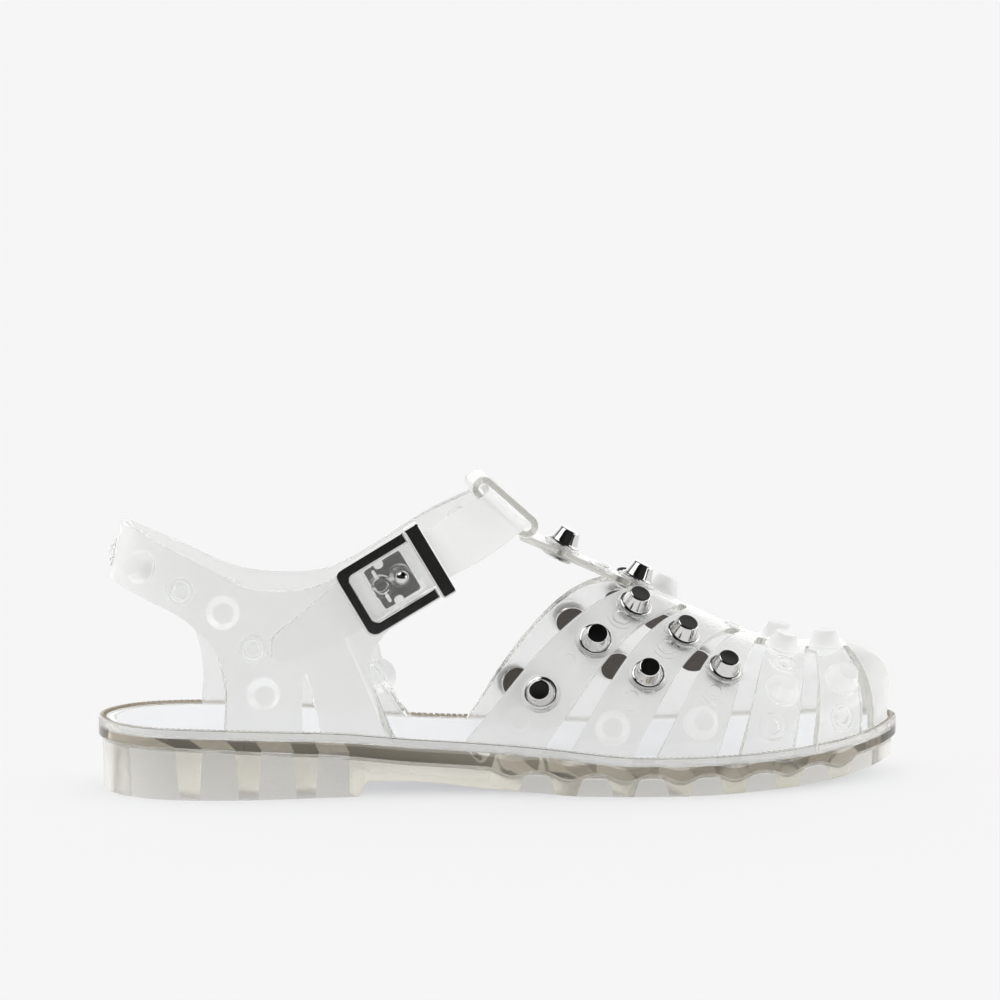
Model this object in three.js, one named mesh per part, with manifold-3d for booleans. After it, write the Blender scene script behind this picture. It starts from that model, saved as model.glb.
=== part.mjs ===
import * as THREE from 'three';
import { mergeVertices } from 'three/addons/utils/BufferGeometryUtils.js';
import ManifoldModule from 'manifold-3d';

// A right jelly sandal in millimetres: toe to +X, outer side to -Y, floor at z = 0.

const manifold = await ManifoldModule();
manifold.setup();
const { Manifold, Mesh } = manifold;

// Main sizes
const soleLength = 250;
const ballWidth = 88;
const heelHeight = 22.5;
const crestHeight = 78;
const collarHeight = 84;
const archHeight = 5;
const toeSpring = 5.5;

// Sole
const rimWidth = 2.3;
const rimBevel = 0.5;
const stepInset = 1.2;
const stepDip = 2.3;
const draft = 0.5;
const wallUnder = 2.6;
const heelPocketRoof = 3;
const treadDepth = 5.7;
const lugPitch = 17.2;
const lugCount = 7;
const firstLug = 124;
const lugTop = 10.5;
const lugFoot = 5;
const heelRibPitch = 17.9;
const heelRibCount = 3;
const firstHeelRib = 25;
const heelRibTop = 10;
const heelRibFoot = 5.5;
const heelBreast = 77;
const breastRun = 3;
const heelBack = 9;

// Upper and insole
const wall = 2.2;
const insoleThickness = 2;
const insoleDrop = 0.9;
const gap = 0.3;
const seatHeight = 2.2;
const seatSlack = 0.25;
const spineHalf = 7;
const spineFlatness = 0.7;
const swell = 1.5;
const swellHeight = 26;
const toeCentre = 0.86;
const slotWidth = 6;
const slotHeight = 19;
const slotAt = 0.25 * soleLength;

// Loop over the ankle strap
const loopLength = 25.5;
const loopThickness = 7.6;
const loopWidth = 16;
const loopAt = { x: 0.5024 * soleLength, z: 1.0286 * collarHeight };
const loopSlope = 42;

// Studs
const studBase = 5.1;
const studTop = 3.15;
const studHeight = 5;
const flange = 0.6;
const shankRadius = 1.6;
const discRadius = 5;
const discThickness = 0.8;
const studGap = 0.75;
const discGap = 1.05;

// Buckle
const buckleAt = { x: 0.3488 * soleLength, z: 0.8095 * collarHeight };
const buckleRise = 1.746;
const buckleLength = 30.6;
const buckleWidth = 24;
const buckleBar = 3.7;
const buckleCorner = 3.5;
const windowCorner = 1.5;
const plateCorner = 1;
const frameThickness = 2.2;
const barWidth = 5;
const barThickness = 4;
const plateThickness = 0.8;
const plateLength = 13;
const plateWidth = 14;
const pinShift = 2.7;
const pinRadius = 1.2;
const ballRadius = 2.3;
const tabOut = 0.3216 * ballWidth;

// Outline of the sole: how far each side lies from the axis, in ball widths.
const outline = [
  { at: 0.012, outer: 0.159, inner: 0.159 },
  { at: 0.056, outer: 0.295, inner: 0.295 },
  { at: 0.152, outer: 0.364, inner: 0.358 },
  { at: 0.28, outer: 0.347, inner: 0.335 },
  { at: 0.4, outer: 0.33, inner: 0.3125 },
  { at: 0.48, outer: 0.362, inner: 0.33 },
  { at: 0.6, outer: 0.46, inner: 0.409 },
  { at: 0.7, outer: 0.494, inner: 0.483 },
  { at: 0.79, outer: 0.466, inner: 0.5 },
  { at: 0.87, outer: 0.392, inner: 0.45 },
  { at: 0.94, outer: 0.26, inner: 0.35 },
  { at: 0.985, outer: 0.085, inner: 0.215 },
];
const toeTipInner = 0.057;

// Side of the sole: rim and step in heel heights, then shares of the arch and of the toe spring.
const side = [
  { at: 0, rim: 1, step: 0.73, arch: 1, spring: 0 },
  { at: 0.07, rim: 1, step: 0.72, arch: 1, spring: 0 },
  { at: 0.27, rim: 0.915, step: 0.59, arch: 1, spring: 0 },
  { at: 0.38, rim: 0.79, step: 0.45, arch: 0.84, spring: 0 },
  { at: 0.465, rim: 0.725, step: 0.385, arch: 0.38, spring: 0 },
  { at: 0.545, rim: 0.665, step: 0.335, arch: 0.1, spring: 0 },
  { at: 0.585, rim: 0.62, step: 0.32, arch: 0, spring: 0 },
  { at: 0.65, rim: 0.56, step: 0.312, arch: 0, spring: 0 },
  { at: 0.72, rim: 0.552, step: 0.305, arch: 0, spring: 0 },
  { at: 0.77, rim: 0.56, step: 0.308, arch: 0, spring: 0.05 },
  { at: 0.86, rim: 0.605, step: 0.355, arch: 0, spring: 0.26 },
  { at: 0.945, rim: 0.69, step: 0.43, arch: 0, spring: 0.65 },
  { at: 1, rim: 0.78, step: 0.51, arch: 0, spring: 1 },
];

// Ridge line of the upper: height in crest heights, shift to the inner side in ball widths,
// and the exponent of its sections on each side, where 1 is an ellipse and less is squarer.
const ridge = [
  { at: 0.4, height: 1.22, shift: 0, outer: 1.5, inner: 1.2 },
  { at: 0.5, height: 1.06, shift: 0, outer: 1.45, inner: 1.15 },
  { at: 0.558, height: 0.965, shift: 0.005, outer: 1.38, inner: 1.12 },
  { at: 0.627, height: 0.855, shift: 0.015, outer: 1.28, inner: 1.08 },
  { at: 0.677, height: 0.775, shift: 0.022, outer: 1.18, inner: 1.04 },
  { at: 0.752, height: 0.66, shift: 0.035, outer: 1.05, inner: 0.98 },
  { at: 0.826, height: 0.553, shift: 0.045, outer: 0.92, inner: 0.9 },
  { at: 0.876, height: 0.517, shift: 0.05, outer: 0.86, inner: 0.86 },
  { at: 0.926, height: 0.515, shift: 0.055, outer: 0.82, inner: 0.82 },
  { at: 0.954, height: 0.498, shift: 0.057, outer: 0.8, inner: 0.8 },
  { at: 0.967, height: 0.472, shift: 0.057, outer: 0.8, inner: 0.8 },
  { at: 0.9755, height: 0.435, shift: 0.057, outer: 0.8, inner: 0.8 },
  { at: 0.98, height: 0.39, shift: 0.057, outer: 0.8, inner: 0.8 },
  { at: 0.983, height: 0.33, shift: 0.057, outer: 0.8, inner: 0.8 },
  { at: 0.984, height: 0.15, shift: 0.057, outer: 0.8, inner: 0.8 },
];

// Straps, as stations on the foot line and on the spine: rear and front edge of each.
const straps = [
  { name: 'a', rearFoot: 0.436, frontFoot: 0.534, rearTop: 0.665, frontTop: 0.722 },
  { name: 'b', rearFoot: 0.566, frontFoot: 0.642, rearTop: 0.731, frontTop: 0.788 },
  { name: 'c', rearFoot: 0.669, frontFoot: 0.746, rearTop: 0.799, frontTop: 0.82 },
  { name: 'd', rearFoot: 0.776, frontFoot: 0.847, rearTop: 0.835, frontTop: 0.88 },
  { name: 'e', rearFoot: 0.877, frontFoot: 0.941, rearTop: 0.893, frontTop: 0.926 },
];
const innerFootShift = 0.03;
const barStart = 0.524;
const capFoot = 0.96;
const capTop = 0.933;
const riseFirst = 1.5;
const catchUp = 1.3;
const lateUntil = 0.7;
const lateFade = 0.08;

// Studs and moulded cones: share up the strap from foot to spine, share across from its rear
// edge. On the spine, share along from the bar to the cap.
const strapStuds = [
  { strap: 'a', up: 0.34, across: 0.48, metal: true, sides: [-1] },
  { strap: 'a', up: 0.2, across: 0.32, metal: true, sides: [1] },
  { strap: 'a', up: 0.58, across: 0.62, metal: true, sides: [-1] },
  { strap: 'a', up: 0.53, across: 0.4, metal: true, sides: [1] },
  { strap: 'a', up: 0.81, across: 0.56, metal: true, sides: [-1, 1] },
  { strap: 'b', up: 0.21, across: 0.46, metal: false, sides: [-1] },
  { strap: 'b', up: 0.45, across: 0.57, metal: true, sides: [-1] },
  { strap: 'b', up: 0.32, across: 0.4, metal: true, sides: [1] },
  { strap: 'b', up: 0.71, across: 0.56, metal: true, sides: [-1] },
  { strap: 'b', up: 0.7, across: 0.42, metal: true, sides: [1] },
  { strap: 'c', up: 0.23, across: 0.46, metal: false, sides: [-1] },
  { strap: 'c', up: 0.54, across: 0.52, metal: true, sides: [-1] },
  { strap: 'c', up: 0.43, across: 0.6, metal: true, sides: [1] },
  { strap: 'd', up: 0.45, across: 0.56, metal: false, sides: [-1] },
  { strap: 'd', up: 0.4, across: 0.6, metal: false, sides: [1] },
  { strap: 'd', up: 0.93, across: 0.4, metal: false, sides: [-1] },
  { strap: 'e', up: 0.52, across: 0.57, metal: false, sides: [-1, 1] },
];
const spineStuds = [
  { at: 0.576, side: -0.2, metal: true },
  { at: 0.669, side: -0.2, metal: true },
  { at: 0.706, side: 0.8, metal: false },
  { at: 0.852, side: 0.55, metal: false },
  { at: 0.906, side: -0.8, metal: false },
];

// Collar band from the strap's tip over the instep, round the heel and back to the buckle tab.
// Each row is one cross-line, its lower and its upper end: along in sole lengths, out to the
// inner side in ball widths, up in collar heights. A foot row starts in the sole, and an over
// row lies that share of the strap's lift outside the tab.
const collar = [
  { lowAt: 0.199, lowOut: -0.322, lowUp: 0.53, topAt: 0.199, topOut: -0.322, topUp: 0.595, over: 0.76 },
  { lowAt: 0.212, lowOut: -0.322, lowUp: 0.515, topAt: 0.209, topOut: -0.322, topUp: 0.63, over: 0.76 },
  { lowAt: 0.25, lowOut: -0.322, lowUp: 0.54, topAt: 0.235, topOut: -0.322, topUp: 0.69, over: 0.85 },
  { lowAt: 0.31, lowOut: -0.322, lowUp: 0.635, topAt: 0.279, topOut: -0.322, topUp: 0.801, over: 0.95 },
  { lowAt: 0.365, lowOut: -0.322, lowUp: 0.727, topAt: 0.333, topOut: -0.322, topUp: 0.892, over: 0.95 },
  { lowAt: 0.418, lowOut: -0.322, lowUp: 0.815, topAt: 0.386, topOut: -0.32, topUp: 0.98, over: 0.95 },
  { lowAt: 0.45, lowOut: -0.31, lowUp: 0.85, topAt: 0.41, topOut: -0.28, topUp: 1.007 },
  { lowAt: 0.49, lowOut: -0.2, lowUp: 0.895, topAt: 0.44, topOut: -0.18, topUp: 1.035 },
  { lowAt: 0.524, lowOut: -0.09, lowUp: 0.943, topAt: 0.4775, topOut: -0.09, topUp: 1.078 },
  { lowAt: 0.526, lowOut: 0, lowUp: 0.96, topAt: 0.479, topOut: 0, topUp: 1.097 },
  { lowAt: 0.524, lowOut: 0.09, lowUp: 0.943, topAt: 0.4775, topOut: 0.09, topUp: 1.078 },
  { lowAt: 0.495, lowOut: 0.2, lowUp: 0.882, topAt: 0.448, topOut: 0.18, topUp: 1.02 },
  { lowAt: 0.455, lowOut: 0.285, lowUp: 0.8, topAt: 0.415, topOut: 0.265, topUp: 0.955 },
  { lowAt: 0.405, lowOut: 0.315, lowUp: 0.69, topAt: 0.362, topOut: 0.31, topUp: 0.845 },
  { lowAt: 0.366, lowOut: 0.32, lowUp: 0.575, topAt: 0.315, topOut: 0.32, topUp: 0.768 },
  { lowAt: 0.362, lowOut: 0.318, lowUp: 0.46, topAt: 0.29, topOut: 0.322, topUp: 0.748 },
  { lowAt: 0.385, lowOut: 0.29, lowUp: 0.3, topAt: 0.275, topOut: 0.322, topUp: 0.742, foot: 0.5 },
  { lowAt: 0.4, lowOut: 0.27, lowUp: 0.2, topAt: 0.262, topOut: 0.322, topUp: 0.741, foot: 1 },
  { lowAt: 0.33, lowOut: 0.28, lowUp: 0.2, topAt: 0.24, topOut: 0.32, topUp: 0.742, foot: 1 },
  { lowAt: 0.25, lowOut: 0.3, lowUp: 0.2, topAt: 0.222, topOut: 0.318, topUp: 0.746, foot: 1 },
  { lowAt: 0.19, lowOut: 0.31, lowUp: 0.2, topAt: 0.2, topOut: 0.315, topUp: 0.756, foot: 1 },
  { lowAt: 0.145, lowOut: 0.315, lowUp: 0.2, topAt: 0.182, topOut: 0.31, topUp: 0.77, foot: 1 },
  { lowAt: 0.144, lowOut: 0.316, lowUp: 0.39, topAt: 0.165, topOut: 0.304, topUp: 0.79 },
  { lowAt: 0.131, lowOut: 0.316, lowUp: 0.546, topAt: 0.148, topOut: 0.295, topUp: 0.815 },
  { lowAt: 0.093, lowOut: 0.29, lowUp: 0.668, topAt: 0.112, topOut: 0.268, topUp: 0.87 },
  { lowAt: 0.058, lowOut: 0.235, lowUp: 0.722, topAt: 0.076, topOut: 0.215, topUp: 0.925 },
  { lowAt: 0.026, lowOut: 0.12, lowUp: 0.77, topAt: 0.042, topOut: 0.11, topUp: 0.98 },
  { lowAt: 0.018, lowOut: 0, lowUp: 0.785, topAt: 0.034, topOut: 0, topUp: 0.995 },
  { lowAt: 0.026, lowOut: -0.12, lowUp: 0.77, topAt: 0.042, topOut: -0.11, topUp: 0.98 },
  { lowAt: 0.058, lowOut: -0.235, lowUp: 0.722, topAt: 0.076, topOut: -0.215, topUp: 0.925 },
  { lowAt: 0.093, lowOut: -0.29, lowUp: 0.668, topAt: 0.112, topOut: -0.268, topUp: 0.87 },
  { lowAt: 0.131, lowOut: -0.316, lowUp: 0.546, topAt: 0.148, topOut: -0.295, topUp: 0.815 },
  { lowAt: 0.144, lowOut: -0.316, lowUp: 0.39, topAt: 0.165, topOut: -0.304, topUp: 0.79 },
  { lowAt: 0.145, lowOut: -0.315, lowUp: 0.2, topAt: 0.182, topOut: -0.31, topUp: 0.775, foot: 1 },
  { lowAt: 0.19, lowOut: -0.31, lowUp: 0.2, topAt: 0.2, topOut: -0.315, topUp: 0.772, foot: 1 },
  { lowAt: 0.25, lowOut: -0.3, lowUp: 0.2, topAt: 0.222, topOut: -0.318, topUp: 0.772, foot: 1 },
  { lowAt: 0.3, lowOut: -0.3, lowUp: 0.2, topAt: 0.242, topOut: -0.32, topUp: 0.778, foot: 1 },
  { lowAt: 0.354, lowOut: -0.3, lowUp: 0.2, topAt: 0.258, topOut: -0.321, topUp: 0.79, foot: 1 },
  { lowAt: 0.335, lowOut: -0.315, lowUp: 0.33, topAt: 0.268, topOut: -0.322, topUp: 0.803 },
  { lowAt: 0.322, lowOut: -0.322, lowUp: 0.5, topAt: 0.276, topOut: -0.322, topUp: 0.815 },
  { lowAt: 0.342, lowOut: -0.322, lowUp: 0.61, topAt: 0.3, topOut: -0.322, topUp: 0.85 },
  { lowAt: 0.395, lowOut: -0.322, lowUp: 0.777, topAt: 0.363, topOut: -0.322, topUp: 0.942 },
];
const collarCones = [
  { row: 11.25, up: 0.5 },
  { row: 16.8, up: 0.3 },
  { row: 21.05, up: 0.8 },
  { row: 25.55, up: 0.45 },
  { row: 28.45, up: 0.45 },
  { row: 31, up: 0.55 },
  { row: 33.9, up: 0.3 },
];

const soleStations = 60;
const lineStations = 34;
const legRows = 7;
const collarRows = 2;

const clamp = (value, low, high) => Math.min(high, Math.max(low, value));
const mix = (a, b, share) => a + (b - a) * share;
const smooth = (share) => share * share * (3 - 2 * share);

// Value of one column at a station, on a curve that never passes its rows.
function along(rows, column, at) {
  const last = rows.length - 2;
  const i = clamp(rows.findIndex((row) => row.at > at) - 1, 0, last);
  const index = at >= rows[rows.length - 1].at ? last : i;
  const slope = (j) => (rows[j + 1][column] - rows[j][column]) / (rows[j + 1].at - rows[j].at);
  const tangent = (j) => {
    if (j === 0) return slope(0);
    if (j === rows.length - 1) return slope(j - 1);
    const product = slope(j - 1) * slope(j);
    return product <= 0 ? 0 : (2 * product) / (slope(j - 1) + slope(j));
  };
  const span = rows[index + 1].at - rows[index].at;
  const t = clamp((at - rows[index].at) / span, 0, 1);
  const from = rows[index][column];
  const to = rows[index + 1][column];
  const bend = t * (1 - t) * span;
  return mix(from, to, smooth(t)) + bend * ((1 - t) * tangent(index) - t * tangent(index + 1));
}

const rimTop = (x) => heelHeight * along(side, 'rim', x / soleLength);
const recessFloor = (x) => rimTop(x) - insoleDrop - insoleThickness - gap;
const soleBottom = (x) => {
  const breast = smooth(clamp((x - heelBreast) / breastRun, 0, 1));
  const arch = archHeight * breast * along(side, 'arch', x / soleLength);
  return arch + toeSpring * along(side, 'spring', x / soleLength);
};
const lugCentres = Array.from({ length: lugCount }, (_, i) => firstLug + i * lugPitch);
const heelRibs = Array.from({ length: heelRibCount }, (_, i) => firstHeelRib + i * heelRibPitch);
const stepLine = (x) => {
  const near = Math.min(...lugCentres.map((centre) => Math.abs(x - centre)));
  const dip = smooth(clamp(1 - near / (lugPitch * 0.45), 0, 1));
  return heelHeight * along(side, 'step', x / soleLength) - stepDip * dip;
};

// Solids and geometries
function solidOf(points, triangles) {
  const mesh = new Mesh({
    numProp: 3,
    vertProperties: new Float32Array(points.flat()),
    triVerts: new Uint32Array(triangles.flat()),
  });
  mesh.merge();
  return new Manifold(mesh);
}

function solidFrom(geometry) {
  geometry.deleteAttribute('uv');
  geometry.deleteAttribute('normal');
  const merged = mergeVertices(geometry, 1e-4);
  const { array } = merged.attributes.position;
  const points = Array.from({ length: array.length / 3 }, (_, i) => [...array.slice(3 * i, 3 * i + 3)]);
  const index = [...merged.index.array];
  const triangles = Array.from({ length: index.length / 3 }, (_, i) => index.slice(3 * i, 3 * i + 3));
  return solidOf(points, triangles.filter(([a, b, c]) => a !== b && b !== c && c !== a));
}

function meshOf(name, solid, colour) {
  const { vertProperties, triVerts } = solid.getMesh();
  const geometry = new THREE.BufferGeometry();
  geometry.setAttribute('position', new THREE.BufferAttribute(vertProperties, 3));
  geometry.setIndex(new THREE.BufferAttribute(triVerts, 1));
  geometry.computeVertexNormals();
  const mesh = new THREE.Mesh(geometry, new THREE.MeshStandardMaterial({ color: colour }));
  mesh.name = name;
  return mesh;
}

const joined = (solids) => solids.reduce((whole, solid) => whole.add(solid));
const cutBy = (solid, tools) => tools.reduce((whole, tool) => whole.subtract(tool), solid);

// The outline moved inwards, split into its outer and inner side from heel to toe.
const outlinePoints = [
  [0, 0],
  ...outline.map((row) => [row.at, -row.outer]),
  [1, toeTipInner],
  ...outline.map((row) => [row.at, row.inner]).reverse(),
].map(([at, out]) => new THREE.Vector3(at * soleLength, out * ballWidth, 0));
const outlineCurve = new THREE.CatmullRomCurve3(outlinePoints, true, 'centripetal');
const fineOutline = outlineCurve.getPoints(1400).slice(0, -1);
const insetCache = new Map();

function insetOutline(inset) {
  if (insetCache.has(inset)) return insetCache.get(inset);
  const count = fineOutline.length;
  const moved = fineOutline.map((point, i) => {
    const before = fineOutline[(i + count - 1) % count];
    const after = fineOutline[(i + 1) % count];
    const run = after.clone().sub(before).normalize();
    return [point.x - run.y * inset, point.y + run.x * inset];
  });
  const xs = moved.map(([x]) => x);
  const toe = xs.indexOf(Math.max(...xs));
  const heel = xs.indexOf(Math.min(...xs));
  const turn = [...moved.slice(heel), ...moved.slice(0, heel)];
  const toeIndex = (toe - heel + count) % count;
  const sides = {
    outer: turn.slice(0, toeIndex + 1),
    inner: [turn[0], ...turn.slice(toeIndex).reverse()],
  };
  insetCache.set(inset, sides);
  return sides;
}

function sideAt(line, x) {
  const i = clamp(line.findIndex((point) => point[0] > x), 1, line.length - 1);
  const [x0, y0] = line[i - 1];
  const [x1, y1] = line[i];
  return x1 === x0 ? y1 : mix(y0, y1, clamp((x - x0) / (x1 - x0), 0, 1));
}

// One closed ring round the sole, counter-clockwise from above, at a height for each station.
function ring(inset, heightAt, stations) {
  const { outer, inner } = insetOutline(inset);
  const heel = outer[0][0];
  const toe = outer[outer.length - 1][0];
  const points = [[heel, outer[0][1], heightAt(heel)]];
  const back = [];
  for (let k = 1; k < stations; k += 1) {
    const x = mix(heel, toe, (1 - Math.cos((Math.PI * k) / stations)) / 2);
    points.push([x, sideAt(outer, x), heightAt(x)]);
    back.unshift([x, sideAt(inner, x), heightAt(x)]);
  }
  points.push([toe, outer[outer.length - 1][1], heightAt(toe)]);
  return [...points, ...back];
}

// Solid through rings from the underside up, closed by strips across both ends.
function loft(rings) {
  const count = rings[0].length;
  const half = count / 2;
  const points = rings.flat();
  const triangles = [];
  for (let level = 0; level < rings.length - 1; level += 1) {
    for (let j = 0; j < count; j += 1) {
      const a = level * count + j;
      const b = level * count + ((j + 1) % count);
      triangles.push([a, b, b + count], [a, b + count, a + count]);
    }
  }
  const top = (rings.length - 1) * count;
  for (let k = 0; k < half; k += 1) {
    const across = (count - k) % count;
    const acrossNext = count - k - 1;
    if (k < half - 1) {
      triangles.push([top + k, top + k + 1, top + acrossNext], [k, acrossNext, k + 1]);
    }
    if (k > 0) {
      triangles.push([top + k, top + acrossNext, top + across], [k, across, acrossNext]);
    }
  }
  return solidOf(points, triangles);
}

// Bar across the shoe with a tapered section, wide end up.
function crossBar(x, topWidth, footWidth, low, high) {
  const shape = new THREE.Shape([
    new THREE.Vector2(x - footWidth / 2, low),
    new THREE.Vector2(x + footWidth / 2, low),
    new THREE.Vector2(x + topWidth / 2, high),
    new THREE.Vector2(x - topWidth / 2, high),
  ]);
  const bar = new THREE.ExtrudeGeometry(shape, { depth: 2 * ballWidth, bevelEnabled: false });
  bar.rotateX(Math.PI / 2).translate(0, ballWidth, 0);
  return solidFrom(bar);
}

function block(fromX, toX, low, high) {
  const box = new THREE.BoxGeometry(toX - fromX, 2 * ballWidth, high - low);
  box.translate((fromX + toX) / 2, 0, (low + high) / 2);
  return solidFrom(box);
}

function makeSole() {
  const level = (inset, height) => ring(inset, height, soleStations);
  const body = loft([
    level(stepInset + draft, soleBottom),
    level(stepInset, (x) => stepLine(x) - 0.6),
    level(0, (x) => stepLine(x) + 0.4),
    level(0, (x) => rimTop(x) - rimBevel),
    level(rimBevel, rimTop),
    level(rimWidth - rimBevel / 2, rimTop),
    level(rimWidth, (x) => rimTop(x) - rimBevel),
    level(rimWidth, recessFloor),
  ]);
  const under = (inset, height) => ring(inset, height, lineStations);
  const wallInset = stepInset + draft + wallUnder;
  const heelPocket = loft([
    under(wallInset, () => -1),
    under(wallInset + 2, (x) => recessFloor(x) - heelPocketRoof),
  ]).intersect(block(heelBack, heelBreast - wallUnder, -2, heelHeight));
  const heelBars = heelRibs.map((x) => crossBar(x, heelRibTop, heelRibFoot, -2, heelHeight));
  const treadPocket = loft([
    under(wallInset, (x) => soleBottom(x) - 1),
    under(wallInset, (x) => soleBottom(x) + treadDepth),
  ]).intersect(block(firstLug, firstLug + (lugCount - 0.35) * lugPitch, -2, heelHeight));
  const lugBars = lugCentres.map((x) => {
    const foot = soleBottom(x);
    return crossBar(x, lugTop, lugFoot, foot - 0.5, foot + treadDepth + 1);
  });
  return cutBy(body, [cutBy(heelPocket, heelBars), cutBy(treadPocket, lugBars)]);
}

function makeInsole() {
  const inset = rimWidth + wall + 2 * (gap + seatSlack);
  return loft([
    ring(inset, (x) => recessFloor(x) + gap, lineStations),
    ring(inset, (x) => rimTop(x) - insoleDrop - rimBevel / 2, lineStations),
    ring(inset + rimBevel / 2, (x) => rimTop(x) - insoleDrop, lineStations),
  ]);
}

// Last: the middle of the upper's wall at a station, a side and an angle up from the foot line.
const wallInset = rimWidth + gap + seatSlack + wall / 2;
const seatFloor = (x) => recessFloor(x) + gap;
const footLevel = (x) => seatFloor(x) + 2 * seatSlack;

const power = (at, sideSign) => along(ridge, sideSign < 0 ? 'outer' : 'inner', at);

function lastPoint(x, sideSign, angle) {
  const at = x / soleLength;
  const sides = insetOutline(wallInset);
  const foot = sideAt(sideSign < 0 ? sides.outer : sides.inner, x);
  const [tipX, tipY] = sides.outer.at(-1);
  const shift = mix(tipY, along(ridge, 'shift', at) * ballWidth, clamp((tipX - x) / wall, 0, 1));
  const bend = power(at, sideSign);
  const low = footLevel(x);
  const high = crestHeight * along(ridge, 'height', at) - wall / 2;
  const y = mix(shift, foot, Math.abs(Math.cos(angle)) ** bend);
  const z = mix(low, Math.max(low, high), Math.sin(angle) ** bend);
  const outward = new THREE.Vector2(x - Math.min(x, toeCentre * soleLength), y - shift).normalize();
  outward.multiplyScalar(swell * Math.sin(Math.PI * clamp((z - rimTop(x) - gap) / swellHeight, 0, 1)));
  return [x + outward.x, y + outward.y, z];
}

// Angle where the side's section meets the edge of the spine.
function spineAngle(x, sideSign) {
  const at = x / soleLength;
  const sides = insetOutline(wallInset);
  const foot = Math.abs(sideAt(sideSign < 0 ? sides.outer : sides.inner, x));
  const shift = along(ridge, 'shift', at) * ballWidth;
  const reach = Math.max(foot - sideSign * shift, 0.01);
  return Math.acos(clamp(spineHalf / reach, 0, 0.9) ** (1 / power(at, sideSign)));
}

// Share of its way forward that a leg has gone. On the outer side the rear legs rise first.
function legRun(foot, up, sideSign) {
  if (sideSign > 0) return up;
  const late = 1 - (1 - up ** riseFirst) ** catchUp;
  return mix(up, late, smooth(clamp((lateUntil - foot) / lateFade, 0, 1)));
}

// Point on a leg of the vamp: up is 0 at the foot line and 1 at the edge of the spine.
function legPoint(foot, top, up, sideSign) {
  const behind = clamp((capFoot - foot) / (capFoot - straps[0].rearFoot), 0, 1);
  const footHere = foot + (sideSign > 0 ? innerFootShift * behind : 0);
  const x = mix(footHere, top, legRun(foot, up, sideSign)) * soleLength;
  const edge = spineAngle(x, sideSign);
  const lift = spineFlatness * (lastPoint(x, sideSign, Math.PI / 2)[2] - lastPoint(x, sideSign, edge)[2]);
  const point = lastPoint(x, sideSign, edge * up);
  point[2] += lift * up ** 2;
  return point;
}

// Point on the flattened spine: off is 0 on the ridge and 1 at the edge.
function spinePoint(at, off, sideSign) {
  const x = at * soleLength;
  const crest = lastPoint(x, sideSign, Math.PI / 2)[2];
  const point = lastPoint(x, sideSign, mix(Math.PI / 2, spineAngle(x, sideSign), off));
  point[2] = mix(point[2], crest, spineFlatness);
  return point;
}

// Share up the leg at which it leaves the rim.
function rimShare(foot, sideSign) {
  const x = foot * soleLength;
  const at = x / soleLength;
  const rise = crestHeight * along(ridge, 'height', at) - footLevel(x);
  const share = clamp((rimTop(x) + gap - footLevel(x)) / Math.max(rise, 1), 0, 0.6);
  const angle = Math.asin(share ** (1 / power(at, sideSign)));
  return Math.min(angle / spineAngle(x, sideSign), 0.6);
}

// Rows of the vamp's grid run from the outer foot over the ridge to the inner foot.
const spineRows = 2;
const vampRows = 2 * (legRows + spineRows);

function vampPoint(foot, top, row) {
  const sideSign = row < legRows + spineRows ? -1 : 1;
  const step = sideSign < 0 ? row : vampRows - row;
  if (step > legRows) return spinePoint(top, 1 - (step - legRows) / spineRows, sideSign);
  const rim = rimShare(foot, sideSign);
  const up = step < 1 ? rim * step : mix(rim, 1, (step - 1) / (legRows - 1));
  return legPoint(foot, top, up, sideSign);
}

// Closed wall over the kept cells of a grid of points, half its thickness to each side.
function shell(grid, kept, thickness) {
  const rows = grid.length;
  const columns = grid[0].length;
  const vector = (r, c) => new THREE.Vector3(...grid[clamp(r, 0, rows - 1)][clamp(c, 0, columns - 1)]);
  const points = [];
  const normals = [];
  for (let r = 0; r < rows; r += 1) {
    for (let c = 0; c < columns; c += 1) {
      const alongRow = vector(r, c + 1).sub(vector(r, c - 1));
      const upRows = vector(r + 1, c).sub(vector(r - 1, c));
      const normal = alongRow.cross(upRows);
      if (normal.length() < 1e-6) normal.set(1, 0, 0);
      normals.push(normal.normalize());
    }
  }
  for (const offset of [thickness / 2, -thickness / 2]) {
    for (let r = 0; r < rows; r += 1) {
      for (let c = 0; c < columns; c += 1) {
        const point = vector(r, c).addScaledVector(normals[r * columns + c], offset);
        points.push(point.toArray());
      }
    }
  }
  const layer = rows * columns;
  const triangles = [];
  const isKept = (r, c) => r >= 0 && c >= 0 && r < rows - 1 && c < columns - 1 && kept(r, c);
  for (let r = 0; r < rows - 1; r += 1) {
    for (let c = 0; c < columns - 1; c += 1) {
      if (!isKept(r, c)) continue;
      const corners = [r * columns + c, r * columns + c + 1, (r + 1) * columns + c + 1, (r + 1) * columns + c];
      const [p, q, s, t] = corners;
      triangles.push([p, q, s], [p, s, t]);
      triangles.push([p + layer, s + layer, q + layer], [p + layer, t + layer, s + layer]);
      const beyond = [isKept(r - 1, c), isKept(r, c + 1), isKept(r + 1, c), isKept(r, c - 1)];
      beyond.forEach((open, edge) => {
        if (open) return;
        const from = corners[edge];
        const to = corners[(edge + 1) % 4];
        triangles.push([to, from, from + layer], [to, from + layer, to + layer]);
      });
    }
  }
  return solidFromPoints(points, triangles);
}

// Solid of a mesh whose doubled points are merged first.
function solidFromPoints(points, triangles) {
  const geometry = new THREE.BufferGeometry();
  geometry.setAttribute('position', new THREE.Float32BufferAttribute(points.flat(), 3));
  geometry.setIndex(triangles.flat());
  return solidFrom(geometry);
}

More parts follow.
